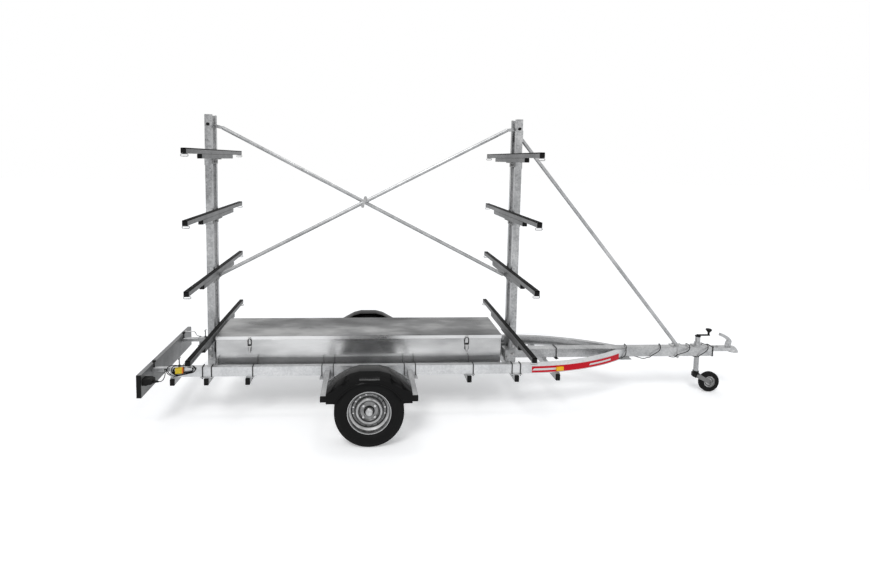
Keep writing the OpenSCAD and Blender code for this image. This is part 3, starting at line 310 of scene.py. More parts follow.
def lens(name, colour, deep):
    """Moulded lens: a square net of small prisms in bump under a glossy skin."""
    f = Finish(name, Roughness=0.2, Specular_IOR_Level=0.3)
    prisms = f.node("ShaderNodeTexChecker", Vector=f.place, Scale=220.0)
    f.bump(prisms.outputs["Fac"], 0.25, 0.0008)
    return f.wear(Base_Color=f.blend(f.noise(30.0, 2.0), deep, colour))


def band_film(name):
    """Marking band in Object coordinates: red film with a white stripe along its middle that starts on a slant,
    then plain red past the amber lamp, then a thinner white stripe near the drawbar. Each stripe goes from a
    start to an end ahead of the axle and reaches half its width to each side of the middle, all in metres."""
    middle_high, slant, film_stripes = 0.407, 0.9, ((1.478, 1.705, 0.0095), (2.045, 2.300, 0.0080))
    f = Finish(name, Roughness=0.45, Specular_IOR_Level=0.12)
    along, high = f.coordinate("X"), f.maths("SUBTRACT", f.coordinate("Z"), middle_high)
    slanted = f.maths("SUBTRACT", along, f.maths("MULTIPLY", high, slant))
    off = f.maths("ABSOLUTE", high, 0.0)
    stripes = []
    for start, end, half in film_stripes:
        after = f.maths("GREATER_THAN", slanted, start + AXLE[0])
        before = f.maths("LESS_THAN", along, end + AXLE[0])
        within = f.maths("LESS_THAN", off, half)
        stripes.append(f.maths("MULTIPLY", f.maths("MULTIPLY", after, before), within))
    white = f.maths("MAXIMUM", *stripes)
    comb = f.spread(f.crystals(900.0), 0.0, 1.0, 0.2, 0.9)
    red = f.blend(comb, (0.50, 0.004, 0.014, 1.0), (0.64, 0.007, 0.022, 1.0))
    return f.wear(Base_Color=f.blend(white, red, f.blend(comb, grey(0.62), grey(0.74))))


def wound_tape(name):
    """Yellow binding tape: fine cross weave in bump, deeper in clouds, and an orange end."""
    orange_from = AXLE[0] - 1.615
    f = Finish(name, Roughness=0.5, Specular_IOR_Level=0.3)
    orange_end = f.maths("GREATER_THAN", f.coordinate("X"), orange_from)
    cloud = f.spread(f.noise(70.0, 3.0), 0.0, 1.0, 0.3, 0.7)
    yellow = f.blend(cloud, (0.60, 0.42, 0.015, 1.0), (0.80, 0.60, 0.03, 1.0))
    orange = f.blend(cloud, (0.58, 0.12, 0.01, 1.0), (0.72, 0.20, 0.02, 1.0))
    f.bump(f.noise(900.0, 1.0, f.stretched(1.0, 1.0, 0.2)), 0.2, 0.0004)
    return f.wear(Base_Color=f.blend(orange_end, yellow, orange))


def lid_sheet(name):
    """Lid's sheet: a top painted dark as shade and clouded with painted reflections, and a strip painted bright as
    lit where it folds down just under the top.
    """
    fold_low, fold_high = 0.6815, 0.6835
    f = Finish(name, Metallic=0.9)
    painted_shade_on_top = f.spread(f.coordinate("Z"), 0.0, 1.0, fold_low, fold_high)
    cloud = f.noise(1.5, 4.0, f.stretched(0.8, 1.3, 1.0))
    smears_and_painted_reflections = f.noise(9.0, 4.0, f.stretched(0.35, 1.0, 1.0))
    mixed = f.weighed(cloud, 0.7, smears_and_painted_reflections, 0.3)
    # Painted shade and light: the top is painted dark as shade with clouds of painted reflection, and the folded
    # edge strip is painted bright as lit.
    top = f.steps(mixed, (0.38, grey(0.05, 0.02)), (0.49, grey(0.15, 0.01)), (0.60, grey(0.36)))
    edge = f.steps(mixed, (0.34, grey(0.60)), (0.66, grey(0.82)))
    f.bump(f.noise(2.4, 1.0, f.stretched(0.7, 1.2, 1.6)), 0.3, 0.02)
    return f.wear(Base_Color=f.blend(painted_shade_on_top, edge, top), Roughness=f.spread(smears_and_painted_reflections, 0.26, 0.38, 0.3, 0.7))


def turned_metal(name, centre, stops):
    """Metal whose brightness goes by distance from its axle across the trailer: rings of painted highlight on its
    ridges and rings of painted shade in its pressings, darkened here and there by clouds of dust. stops are (radius
    in mm, grey level), up to the ramp's end."""
    ramp_end = 200.0
    f = Finish(name, Metallic=0.8, Specular_IOR_Level=0.3)
    from_axle = f.node(
        "ShaderNodeMapping", Vector=f.place, Location=(-centre[0], 0.0, -centre[2]), Scale=(1.0, 0.0, 1.0)
    ).outputs["Vector"]
    radius = f.node("ShaderNodeVectorMath", {"operation": "LENGTH"}, Vector=from_axle).outputs["Value"]
    dust = f.noise(34.0, 4.0)
    wobble = f.spread(dust, -0.008, 0.008, 0.3, 0.7)
    place = f.maths("ADD", f.maths("MULTIPLY", radius, 1000.0 / ramp_end), wobble)
    painted_light_rings = f.steps(place, *((distance / ramp_end, grey(level)) for distance, level in stops))
    return f.wear(
        Base_Color=f.blend(f.spread(dust, 0.0, 0.45, 0.42, 0.75), painted_light_rings, grey(0.07)),
        Roughness=f.spread(dust, 0.3, 0.44, 0.3, 0.7),
    )


# Wheel, hub and jockey rim stops: the dark and near-black rings are painted shade in the pressings, and the bright
# rings are painted highlights on the ridges. The hub's near-black ring round its cap also stands for the cap's dark
# rim.
WHEEL = turned_metal("wheel silver", at((0, 0, WHEEL_HIGH)), (
    (0, 0.01), (42, 0.01), (45, 0.26), (76, 0.26), (82, 0.10), (86, 0.08), (91, 0.42), (103, 0.52), (110, 0.24),
    (117, 0.10), (128, 0.26), (136, 0.12), (142, 0.08), (148, 0.42), (158, 0.52), (163, 0.12), (167, 0.08),
    (171, 0.50), (183, 0.62),
))
HUB = turned_metal("hub plate", at((0, 0, WHEEL_HIGH)), (
    (0, 0.70), (30, 0.60), (33, 0.01), (44, 0.01), (50, 0.50), (62, 0.75), (76, 0.60),
))
JOCKEY_RIM = turned_metal("jockey rim", at(JOCKEY_AXLE), (
    (0, 0.50), (11, 0.42), (14, 0.06), (20, 0.10), (24, 0.50), (33, 0.46), (37, 0.06), (43, 0.08), (47, 0.55),
    (56, 0.60),
))

# One finish for each material slot of the record
FINISHES = {
    "galvanised": zinc_coat("galvanised", dark=0.30, light=0.62, rough=0.42, grain=95.0),
    "bright_sheet": rolled_sheet("bright sheet", dark=0.30, light=0.66, rough=0.18),
    "zinc": plated("zinc plate", level=0.50, rough=0.3),
    "wheel_silver": WHEEL,
    "tyre_rubber": moulded("tyre rubber", level=0.007, rough=0.62, grain=300.0, dust=0.01, shine=0.1),
    "pad_rubber": moulded("pad rubber", level=0.006, rough=0.6, grain=300.0, dust=0.01, shine=0.1),
    "black_plastic": moulded("black plastic", level=0.006, rough=0.4, grain=420.0, dust=0.01, shine=0.12),
    "guard_black": moulded("gloss black", level=0.002, rough=0.12, grain=90.0, dust=0.0, shine=0.12),
    "cable_black": moulded("cable sheath", level=0.006, rough=0.45, grain=420.0, dust=0.0, shine=0.1),
    "lens_red": lens("red lens", colour=(0.5, 0.01, 0.012, 1.0), deep=(0.22, 0.004, 0.006, 1.0)),
    "band_red": band_film("red and white film"),
    "lens_amber": lens("amber lens", colour=(0.95, 0.56, 0.01, 1.0), deep=(0.80, 0.40, 0.005, 1.0)),
}
# Painted light: the near rail gets a brighter copy of the galvanised zinc than the far rail, standing in for the
# light on its face.
LIT_NEAR_RAIL_ZINC = zinc_coat("near rail zinc painted lit", dark=0.46, light=0.74, rough=0.36, grain=70.0)
MAST_ZINC = zinc_coat("weathered zinc", dark=0.16, light=0.58, rough=0.34, grain=60.0)
BAR_ZINC = zinc_coat("dull bar zinc", dark=0.10, light=0.26, rough=0.5, grain=80.0)
BOARD_ZINC = zinc_coat("board zinc", dark=0.14, light=0.32, rough=0.5, grain=80.0)
TUBE_ZINC = zinc_coat("tube zinc", dark=0.24, light=0.62, rough=0.4, grain=110.0)
DARK_BOLT = plated("dark bolt zinc", level=0.06, rough=0.42)
DARK_CLAMP = plated("dark clamp zinc", level=0.22, rough=0.38)
TAPE = wound_tape("binding tape")

# Nodes whose finish differs from their slot's
OWN_FINISH = {
    "rail_near": LIT_NEAR_RAIL_ZINC, "rail_far": TUBE_ZINC, "drawbar": TUBE_ZINC, "jockey_sleeve": TUBE_ZINC,
    "coupling_head": TUBE_ZINC, "coupling_lever": TUBE_ZINC, "axle_brackets": TUBE_ZINC,
    "brace_rising": TUBE_ZINC, "brace_falling": TUBE_ZINC, "front_stay": TUBE_ZINC,
    "mast_rear": MAST_ZINC, "mast_front": MAST_ZINC, "mast_feet": MAST_ZINC,
    "rack_supports": BAR_ZINC, "rack_bars": BAR_ZINC, "light_board": BOARD_ZINC, "box_lid": lid_sheet("lid sheet"),
    "rack_clamps": DARK_CLAMP, "jockey_arms": DARK_CLAMP, "arm_clamps": DARK_CLAMP, "u_bolts": DARK_BOLT,
    "rim_near": WHEEL, "rim_far": WHEEL, "hub_near": HUB, "hub_far": HUB, "jockey_rim": JOCKEY_RIM,
}


def finish_of(node):
    """The node's own finish, or else its slot's."""
    return OWN_FINISH.get(node, FINISHES[SLOT_OF[node]])


def dress(node, material):
    """Gives a CAD node one material on all its slots."""
    mesh = frame["nodes"][node].data
    mesh.materials.clear()
    mesh.materials.append(material)


for node in frame["nodes"]:
    dress(node, finish_of(node))


# Surfaces: every new piece is worked out in millimetres from the axle's ground point


class Shell:
    """Points and quad faces of one new piece, gathered surface by surface."""

    def __init__(self):
        self.points, self.faces, self.count = [], [], 0

    def skin(self, grid, along=False, capped=False):
        """Quads over rows of points, each row a closed ring. along joins the last row to the first, and capped
        draws the first and last rows together at their middles."""
        grid = np.asarray(grid, dtype=float)
        if capped:
            middle = grid[[0, -1]].mean(axis=1, keepdims=True) * np.ones((2, grid.shape[1], 1))
            grid = np.concatenate([middle[:1], grid, middle[1:]])
        rows, columns = grid.shape[:2]
        row, column = np.meshgrid(np.arange(rows if along else rows - 1), np.arange(columns), indexing="ij")
        row, column = row.ravel(), column.ravel()
        near, far, after = row * columns, (row + 1) % rows * columns, (column + 1) % columns
        self.faces.append(np.stack([near + column, near + after, far + after, far + column], axis=1) + self.count)
        self.points.append(grid.reshape(-1, 3))
        self.count += rows * columns
        return self

    def tube(self, path, radius, sides):
        """Round rod or cord along a path, capped at its ends."""
        return self.skin(rings_along(path, radius, sides), capped=True)

    def turned(self, profile, centre, axis, sides):
        """Turned shape: rows of (radius, distance along the axis) from the centre, capped at both ends."""
        return self.skin(turned(profile, centre, axis, sides), capped=True)

    def plate(self, outline, low, high, lift, edge):
        """Flat plate between low and high along one axis, its outline drawn in by edge at both faces. lift puts
        (u, v, w) into x, y, z."""
        outline = np.asarray(outline, dtype=float)
        middle = outline.mean(axis=0)
        reach = np.abs(outline - middle).max(axis=0)
        inner = middle + (outline - middle) * (1 - edge / reach)
        rows = [(inner, low), (outline, low + edge), (outline, high - edge), (inner, high)]
        return self.skin(lifted(rows, lift), capped=True)

    def nut(self, centre, axis, across, high, stem):
        """Hexagon nut on a washer, across wide between its flats, with the bolt's end standing stem out of it."""
        corner, washer, rim, bolt = across / math.sqrt(3), 1.6, across * 0.72, across * 0.3
        chamfered = [(corner * 0.88, washer), (corner, 2.6), (corner, high + 0.6), (corner * 0.88, high + washer)]
        self.turned([(rim, 0), (rim, washer)], centre, axis, 20)
        self.turned(chamfered, centre, axis, 6)
        if stem:
            bolt_end = [(bolt, high), (bolt, high + stem), (across * 0.22, high + stem + 1.2)]
            self.turned(bolt_end, centre, axis, 12)

    def done(self, name, body, slot, replaces=(), angle=38.0, material=None):
        """Makes the piece in its slot's finish, or in one of its own: doubles merged, faces turned outwards, and
        edges sharper than the angle kept crisp."""
        mesh = bpy.data.meshes.new(name)
        points = AXLE + np.concatenate(self.points) / 1000.0
        mesh.from_pydata(points, [], np.concatenate(self.faces).tolist())
        work = bmesh.new()
        work.from_mesh(mesh)
        bmesh.ops.remove_doubles(work, verts=work.verts, dist=2e-6)
        bmesh.ops.dissolve_degenerate(work, edges=work.edges, dist=1e-7)
        bmesh.ops.recalc_face_normals(work, faces=work.faces)
        work.to_mesh(mesh)
        work.free()
        mesh.polygons.foreach_set("use_smooth", np.ones(len(mesh.polygons), dtype=bool))
        mesh.set_sharp_from_angle(angle=math.radians(angle))
        mesh.materials.append(material or FINISHES[slot])
        piece = bpy.data.objects.new(name, mesh)
        bpy.context.scene.collection.objects.link(piece)
        if body:
            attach(piece, body)
        if replaces:
            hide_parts(*replaces)
        return piece


def unit(direction):
    """Direction of length 1."""
    return np.asarray(direction, dtype=float) / np.linalg.norm(direction)


def lifted(rows, lift):
    """Rows of (outline, height), each outline lifted to its height."""
    return [lift(line[:, 0], line[:, 1], np.full(len(line), height)) for line, height in rows]


def turned(profile, centre, axis, sides):
    """Rings of a turned shape: centre + radius (cos a, sin a) square to the axis + distance along it."""
    axis = unit(axis)
    side = unit(np.cross(axis, [0.0, 0.0, 1.0] if abs(axis[2]) < 0.9 else [1.0, 0.0, 0.0]))
    angle = np.arange(sides) * (2 * math.pi / sides)
    ring = np.cos(angle)[:, None] * side + np.sin(angle)[:, None] * np.cross(axis, side)
    profile = np.asarray(profile, dtype=float)
    return np.asarray(centre, dtype=float) + profile[:, :1, None] * ring + profile[:, 1:, None] * axis


def rings_along(path, radius, sides):
    """Circles about the points of a path, square to it, each turned as little as can be from the one before:
    point + radius (cos a, sin a) in the plane of two sides that are carried along the path."""
    path = np.asarray(path, dtype=float)
    ahead = np.gradient(path, axis=0)
    ahead /= np.linalg.norm(ahead, axis=1, keepdims=True)
    side, kept = np.cross(ahead[0], [0.31, 0.57, 0.76]), []
    for direction in ahead:
        side = unit(side - direction * (side @ direction))
        kept.append(side)
    kept = np.array(kept)
    angle = np.arange(sides) * (2 * math.pi / sides)
    ring = np.cos(angle)[:, None] * kept[:, None] + np.sin(angle)[:, None] * np.cross(ahead, kept)[:, None]
    return path[:, None] + radius * ring


def through(points, step):
    """Smooth line through the points: a natural cubic spline over the distance between them, in even steps."""
    points = np.asarray(points, dtype=float)
    gap = np.linalg.norm(np.diff(points, axis=0), axis=1)
    along = np.concatenate([[0.0], np.cumsum(gap)])
    slope = np.diff(points, axis=0) / gap[:, None]
    inner = np.arange(1, len(points) - 1)
    system, right = np.eye(len(points)), np.zeros_like(points)
    system[inner, inner - 1], system[inner, inner + 1] = gap[:-1], gap[1:]
    system[inner, inner] = 2 * (gap[:-1] + gap[1:])
    right[1:-1] = 6 * np.diff(slope, axis=0)
    bend = np.linalg.solve(system, right)
    fine = np.linspace(0.0, along[-1], max(3, int(along[-1] / step) + 1))
    k = np.clip(np.searchsorted(along, fine, side="right") - 1, 0, len(gap) - 1)
    wide = gap[k][:, None]
    after = fine[:, None] - along[k][:, None]
    before = wide - after
    curved = (bend[k] * before ** 3 + bend[k + 1] * after ** 3) / (6 * wide)
    start, end = points[k] / wide - bend[k] * wide / 6, points[k + 1] / wide - bend[k + 1] * wide / 6
    return curved + start * before + end * after


def eased(value, start, end):
    """Goes smoothly from 0 to 1 as the value goes from start to end."""
    share = np.clip((value - start) / (end - start), 0.0, 1.0)
    return share * share * (3 - 2 * share)


def rounded(wide, high, corner):
    """Outline of a rectangle about its middle: a quarter circle round each corner's own centre."""
    angle, u, v = np.linspace(0, math.pi / 2, 5), wide / 2 - corner, high / 2 - corner
    arcs = [
        np.stack([across + corner * np.cos(angle + turn), up + corner * np.sin(angle + turn)], axis=1)
        for across, up, turn in [(u, v, 0.0), (-u, v, math.pi / 2), (-u, -v, math.pi), (u, -v, 1.5 * math.pi)]
    ]
    return np.concatenate(arcs)


def facing_near(x, z):
    """Puts an outline about (x, z) in the upright plane along the trailer, its heights out to the near side."""
    return lambda u, v, w: np.stack([x + u, -w, z + v], axis=1)


def facing_z(x, y):
    """Puts an outline about (x, y) in the level plane."""
    return lambda u, v, w: np.stack([x + u, y + v, w], axis=1)


def facing_x(y, z):
    """Puts an outline about (y, z) in the plane across the trailer."""
    return lambda u, v, w: np.stack([w, y + u, z + v], axis=1)


# Cords and cables


def loop(share, left, right, big, small):
    """Closed loop round two circles, big at the left and small at the right: the point at each share of its
    length, run with the near side's clock turned back, from the low left. Each point is its circle's centre plus
    its radius along the outward normal, and straight runs join the two arcs."""
    left, right = np.asarray(left, dtype=float), np.asarray(right, dtype=float)
    lean = math.atan2(*(right - left)[::-1])
    reach = math.acos((big - small) / np.linalg.norm(right - left))
    angle = math.radians(-110) + np.linspace(0, 2 * math.pi, 721)
    on_right = (np.abs((angle - lean + math.pi) % (2 * math.pi) - math.pi) < reach)[:, None]
    outward = np.stack([np.cos(angle), np.sin(angle)], axis=1)
    line = np.where(on_right, right, left) + np.where(on_right, small, big) * outward
    along = np.concatenate([[0.0], np.cumsum(np.linalg.norm(np.diff(line, axis=0), axis=1))])
    return np.stack([np.interp(share * along[-1], along, line[:, k]) for k in (0, 1)], axis=1)


def lamp_cord_route():
    """Out of the near lamp's socket, up and across to the rail, then nearly four turns of the hank: outer, inner,
    inner a cord behind, outer a cord behind, and off the top towards the rail's open end."""
    lead = [
        (-1748.6, -509, 408), (-1740, -509, 408), (-1726, -506, 412), (-1715, -497, 425), (-1711, -484, 443),
        (-1716, -464, 459), (-1727, -442, 468), (-1739, -418, 470), (-1746, -397, 464), (-1745, -380, 450),
        (-1737, -369, 431), (-1724, -366, 410), (-1705, -366, 394),
    ]
    turn, front_layer = np.linspace(0.0, 3.74, 300), -366.0
    inward = eased(turn, 0.78, 1.12) - eased(turn, 2.78, 3.12)
    behind = eased(turn, 1.78, 2.12)
    outer = loop(turn % 1.0, (-1664, 430), (-1533.5, 444), 46, 30)
    inner = loop(turn % 1.0, (-1666, 430), (-1545, 441), 24, 21)
    flat = outer + (inner - outer) * inward[:, None]
    sway = 0.6 * np.sin(turn * 9.0)
    hank = np.stack([flat[:, 0], front_layer + CORD * behind + sway * 0.3, flat[:, 1]], axis=1)
    return through(np.concatenate([lead, hank[2::4]]), 3.0)


CORD_ROUTE = lamp_cord_route()
lamp_cord = Shell().tube(CORD_ROUTE, CORD / 2, 12).done(
    "lamp_cord", None, "cable_black", ("lamp_lead", "lead_hank"), 60.0
)


def binding_tape():
    """Tape wound round the hank's inner strands: an upright oval ring, (deep |cos a|^0.45, high |sin a|^0.7) with
    the signs of cos and sin, carried along them and creased a little as tape is when it is pulled tight. The inner
    skin lies 0.9 mm inside the outer one."""
    x = np.linspace(-1672, -1604, 36)
    angle = np.arange(40) * (2 * math.pi / 40)
    round_high = np.sign(np.sin(angle)) * np.abs(np.sin(angle)) ** 0.7
    round_deep = np.sign(np.cos(angle)) * np.abs(np.cos(angle)) ** 0.45
    crease = 0.5 * np.sin(x[:, None] * 0.42 + 3 * angle) + 0.35 * np.sin(x[:, None] * 0.9 - 5 * angle)
    middle, between_layers, deep, high = 430 + (x + 1666) * 0.09, -362.5, 8.3, 29.0
    outside, inside = (
        np.stack([
            np.broadcast_to(x[:, None], crease.shape), between_layers + (deep + grow + crease * 0.4) * round_deep,
            middle[:, None] + (high + grow + crease) * round_high,
        ], axis=2) for grow in (0.0, -0.9)
    )
    return np.concatenate([outside, inside[::-1]])


tape = Shell().skin(binding_tape(), along=True).done("binding_tape", "chassis", "cable_black", material=TAPE)
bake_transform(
    lamp_cord, "light_board", "chassis", start=tuple(at((-1749, -509, 408))), end=tuple(at((-1705, -366, 394)))
)


def frame_cable_route():
    """The route of the frame cable in the source: out of the hank, into the rail's open end, along its channel,
    through the hole, round the drawbar in long slanting turns and up into the parked plug. The rail's bent part
    is an arc: y = centre y - sqrt(radius^2 - (x - bend x)^2)."""
    bend_x, bend_radius, bend_centre, channel_high = 1450.0, 1916.5, 1571.0, 379.0

    def in_bend(x):
        """Y of the channel at x along the bend."""
        return bend_centre - math.sqrt(bend_radius ** 2 - (x - bend_x) ** 2)

    channel = [(x, -345.5, channel_high) for x in np.linspace(-1700, bend_x, 5)]
    channel += [(x, in_bend(x), channel_high) for x in bend_x + 180 * np.arange(1, 6)]
    hole_x = 2424.7
    out = np.array([hole_x, in_bend(hole_x) - 10, 386.0]) + [
        (-27, -4, -2), (-9, -1, 0), (15, 2, 1), (37, 12, 2), (59, 25, 5), (75, 32, 14), (83, 37, 29), (87, 38, 48),
    ]
    # Corners of the drawbar passed: (turns made, share of the wound length)
    wound = [
        (-0.75, 0.014), (-0.5, 0.048), (-0.25, 0.112), (0, 0.295), (0.25, 0.416), (0.5, 0.462), (0.75, 0.532),
        (1, 0.5875), (1.25, 0.762), (1.5, 0.788), (1.75, 0.821), (2, 0.869), (2.25, 0.98),
    ]

    def bends(some):
        """Three points round each corner of the drawbar, on a circle that clears the corner."""
        wound_from, wound_length, bar_high, half_wide, half_high, clear = 2503.7, 858.3, 422.5, 25, 30.5, 26
        made = []
        for turns, share in some:
            corner = math.radians(-135 - turns * 360)
            y, z = math.copysign(half_wide, math.cos(corner)), bar_high + math.copysign(half_high, math.sin(corner))
            for lean in (30, 0, -30):
                angle = corner + math.radians(lean)
                x = wound_from + share * wound_length - lean / 5
                made.append((x, y + clear * math.cos(angle), z + clear * math.sin(angle)))
        return made

    slack = [(2654.8, 8, 357), (2709.7, -27, 354)]
    plug = np.array([3362.0, 64.0, 468.0]) + [
        (-25, -28, 11), (-18, -17, 9.5), (-9, -7, 5.5), (-2, -1, -1), (0, 0, -7), (0, 0, -13.2),
    ]
    start = [
        tuple(CORD_ROUTE[-1]), (-1700, -358.6, 477), (-1720, -358, 471), (-1739, -357, 457), (-1750, -356, 437),
        (-1751, -354.5, 417), (-1744, -351, 400), (-1732, -347.5, 387), (-1715, -345.7, 380.5),
    ]
    return through(np.concatenate([start, channel, out, bends(wound[:3]), slack, bends(wound[3:]), plug]), 5.0)


Shell().tube(frame_cable_route(), CORD / 2, 12).done(
    "main_cable", "chassis", "cable_black", ("frame_cable",), 60.0
)


# Wheels


def tyre_section(turn):
    """One closed section of the tyre for each turn angle, as (offset from the wheel's middle, radius). The wall is
    a shallow arch between the bead and the shoulder with raised rings on it, the shoulder a quarter oval, and
    the crown a flat arch cut by four grooves round the wheel, by slanting slots at its edges and by fine, wavy
    cuts between them."""
    bead, shoulder, crown_edge, wall_out = 176.0, 262.0, 62.0, 82.5
    raised, wall_rings = 0.9, (192.0, 200.0, 243.0, 249.0)
    grooved, slots = (-39.0, -13.0, 13.0, 39.0), 64
    groove_deep, slot_deep, fine_deep = 6.0, 5.0, 2.5

    wall = np.linspace(bead, shoulder, 34)
    ring = raised * sum(eased(wall, r - 1.4, r - 0.4) - eased(wall, r + 0.4, r + 1.4) for r in wall_rings)
    bulge = wall_out * (1 - 0.18 * ((wall - 228) / 52) ** 2) - raised + ring
    corner = np.linspace(0.0, math.pi / 2, 7)[1:]
    crown = np.linspace(crown_edge, -crown_edge, 95)[1:-1]
    side = np.concatenate([bulge, crown_edge + 13.2 * np.cos(corner)])
    high = np.concatenate([wall, shoulder + 15.5 * np.sin(corner)])

    groove = sum(eased(crown, g - 4.5, g - 3.0) - eased(crown, g + 3.0, g + 4.5) for g in grooved)
    slant = slots * turn[:, None] / (2 * math.pi) + crown * 0.010 * np.sign(crown)
    slot = eased(np.abs((slant % 1.0) - 0.5), 0.42, 0.46) * (np.abs(crown) > 43.5)
    wavy = 2 * slant + 0.3 * np.sin(crown * 0.25)
    fine = eased(np.abs((wavy % 1.0) - 0.5), 0.43, 0.47) * (np.abs(crown) < 34)
    cut = np.maximum.reduce([
        np.broadcast_to(groove, slot.shape) * groove_deep, slot * slot_deep, fine * fine_deep,
    ])
    top = WHEEL_HIGH - 3.0 * (crown / crown_edge) ** 2 - cut

    seat_out, seat_radius = np.array([58.0, 64.0]), np.array([168.0, 172.0])
    offset = np.concatenate([seat_out, side, crown, -side[::-1], -seat_out[::-1]])
    rows = [seat_radius, high, top, high[::-1], seat_radius[::-1]]
    radius = np.concatenate([np.broadcast_to(row, (len(turn), row.shape[-1])) for row in rows], axis=1)
    return np.broadcast_to(offset, radius.shape), radius


def tyre(side, name):
    """Tyre turned round its axle: (radius sin a, offset, radius cos a) about the wheel's middle."""
    turn = np.arange(512) * (2 * math.pi / 512)
    offset, radius = tyre_section(turn)
    grid = np.stack([
        radius * np.sin(turn)[:, None], side * WHEEL_OUT + offset, WHEEL_HIGH + radius * np.cos(turn)[:, None]
    ], axis=2)
    node = "tyre_" + name
    Shell().skin(grid, along=True).done(name + "_tyre", BODY_OF[node], "tyre_rubber", (node,), 32.0)


tyre(-1, "near")
tyre(1, "far")


# Mudguards


def softened(node, name):
    """A merged copy of a node with its flat faces joined and every edge sharper than the angle, in degrees,
    rounded off in three steps over a few millimetres."""
    round_off, angle = 5.0, 11.0
    mesh = frame["nodes"][node].data.copy()
    work = bmesh.new()
    work.from_mesh(mesh)
    bmesh.ops.remove_doubles(work, verts=work.verts, dist=1e-5)
    bmesh.ops.dissolve_limit(work, angle_limit=math.radians(0.6), verts=work.verts, edges=work.edges)
    folds = [edge for edge in work.edges if len(edge.link_faces) == 2]
    sharp = [edge for edge in folds if edge.calc_face_angle(0.0) > math.radians(angle)]
    bmesh.ops.bevel(
        work, geom=sharp, offset=round_off / 1000, offset_type="OFFSET", segments=3, profile=0.5,
        affect="EDGES", clamp_overlap=True,
    )
    bmesh.ops.remove_doubles(work, verts=work.verts, dist=1e-6)
    bmesh.ops.triangulate(work, faces=work.faces)
    work.to_mesh(mesh)
    work.free()
    mesh.polygons.foreach_set("use_smooth", np.ones(len(mesh.polygons), dtype=bool))
    mesh.set_sharp_from_angle(angle=math.radians(angle))
    mesh.materials.clear()
    mesh.materials.append(finish_of(node))
    piece = bpy.data.objects.new(name, mesh)
    bpy.context.scene.collection.objects.link(piece)
    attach(piece, BODY_OF[node])
    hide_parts(node)


softened("guard_near", "near_mudguard")
softened("guard_far", "far_mudguard")


# Rack pads: black rubber strips with five ribs along them


def rack_pads():
    """Strip section carried across the trailer, its ends drawn in a little: a flat strip whose top has five ribs,
    each of them rib high times sqrt(1 - t^2) over its own width."""
    half_wide, thick, rib_high, rib_wide = 18.0, 6.4, 1.6, 7.2
    pads = Shell()
    across = np.linspace(-half_wide, half_wide, 61)
    over_rib = ((across + half_wide) % rib_wide - rib_wide / 2) / 3.4
    top = np.stack([across, thick + rib_high * np.sqrt(np.clip(1 - over_rib ** 2, 0.0, 1.0))], axis=1)
    section = np.concatenate([top, [[half_wide, 0.4], [17.6, 0.0], [-17.6, 0.0], [-half_wide, 0.4]]])
    along = np.array([-785.0, -784.0, -400.0, 0.0, 400.0, 784.0, 785.0])
    shrink = np.array([0.94, 1.0, 1.0, 1.0, 1.0, 1.0, 0.94])
    for x in (REAR_MAST, FRONT_MAST):
        for high in RACK_LEVELS:
            pads.skin(np.stack([
                x + section[:, 0] * shrink[:, None],
                np.broadcast_to(along[:, None], (len(along), len(section))),
                high - thick - rib_high + section[:, 1] * shrink[:, None],
            ], axis=2), capped=True)
    pads.done("ribbed_pads", "chassis", "pad_rubber", ("rack_pads",), 50.0)


rack_pads()


# Nuts, bolts and washers


def mast_fasteners():
    """Hexagon heads over the gussets' bolts, black caps over the braces' upper bolts, and nuts at both ends of the
    long bolts that clamp each rack to its mast."""
    gusset_face, post_face, brace_high, below_rack = 86.0, 80.0, 2572.0, 110.0
    cap = [(14.0, 0.0), (14.0, 9.0), (12.5, 12.5), (8.0, 15.0), (2.0, 15.8)]
    heads, caps, nuts = Shell(), Shell(), Shell()
    for side in (-1, 1):
        out = (0, side, 0)
        for middle, foot in ((REAR_BRACE, REAR_MAST), (FRONT_BRACE, FRONT_MAST)):
            for x, z in ((middle, 510.0), (middle, 435.0), (foot, 405.0)):
                heads.nut((x, side * gusset_face, z), out, across=24.0, high=10.0, stem=4.0)
            caps.turned(cap, (middle, side * post_face, brace_high), out, 24)
    for mast, out in ((REAR_MAST, -1), (FRONT_MAST, 1)):
        for high in RACK_LEVELS:
            for y in (-24.0, 24.0):
                z = high - below_rack
                nuts.nut((mast + out * 86.0, y, z), (out, 0, 0), across=17.0, high=7.5, stem=0.0)
                nuts.nut((mast + out * 14.0, y, z), (-out, 0, 0), across=17.0, high=4.0, stem=0.0)
    heads.done("gusset_bolts", "chassis", "zinc")
    caps.done("brace_bolt_caps", "chassis", "black_plastic")
    nuts.done("rack_clamp_nuts", "chassis", "zinc", material=DARK_CLAMP)


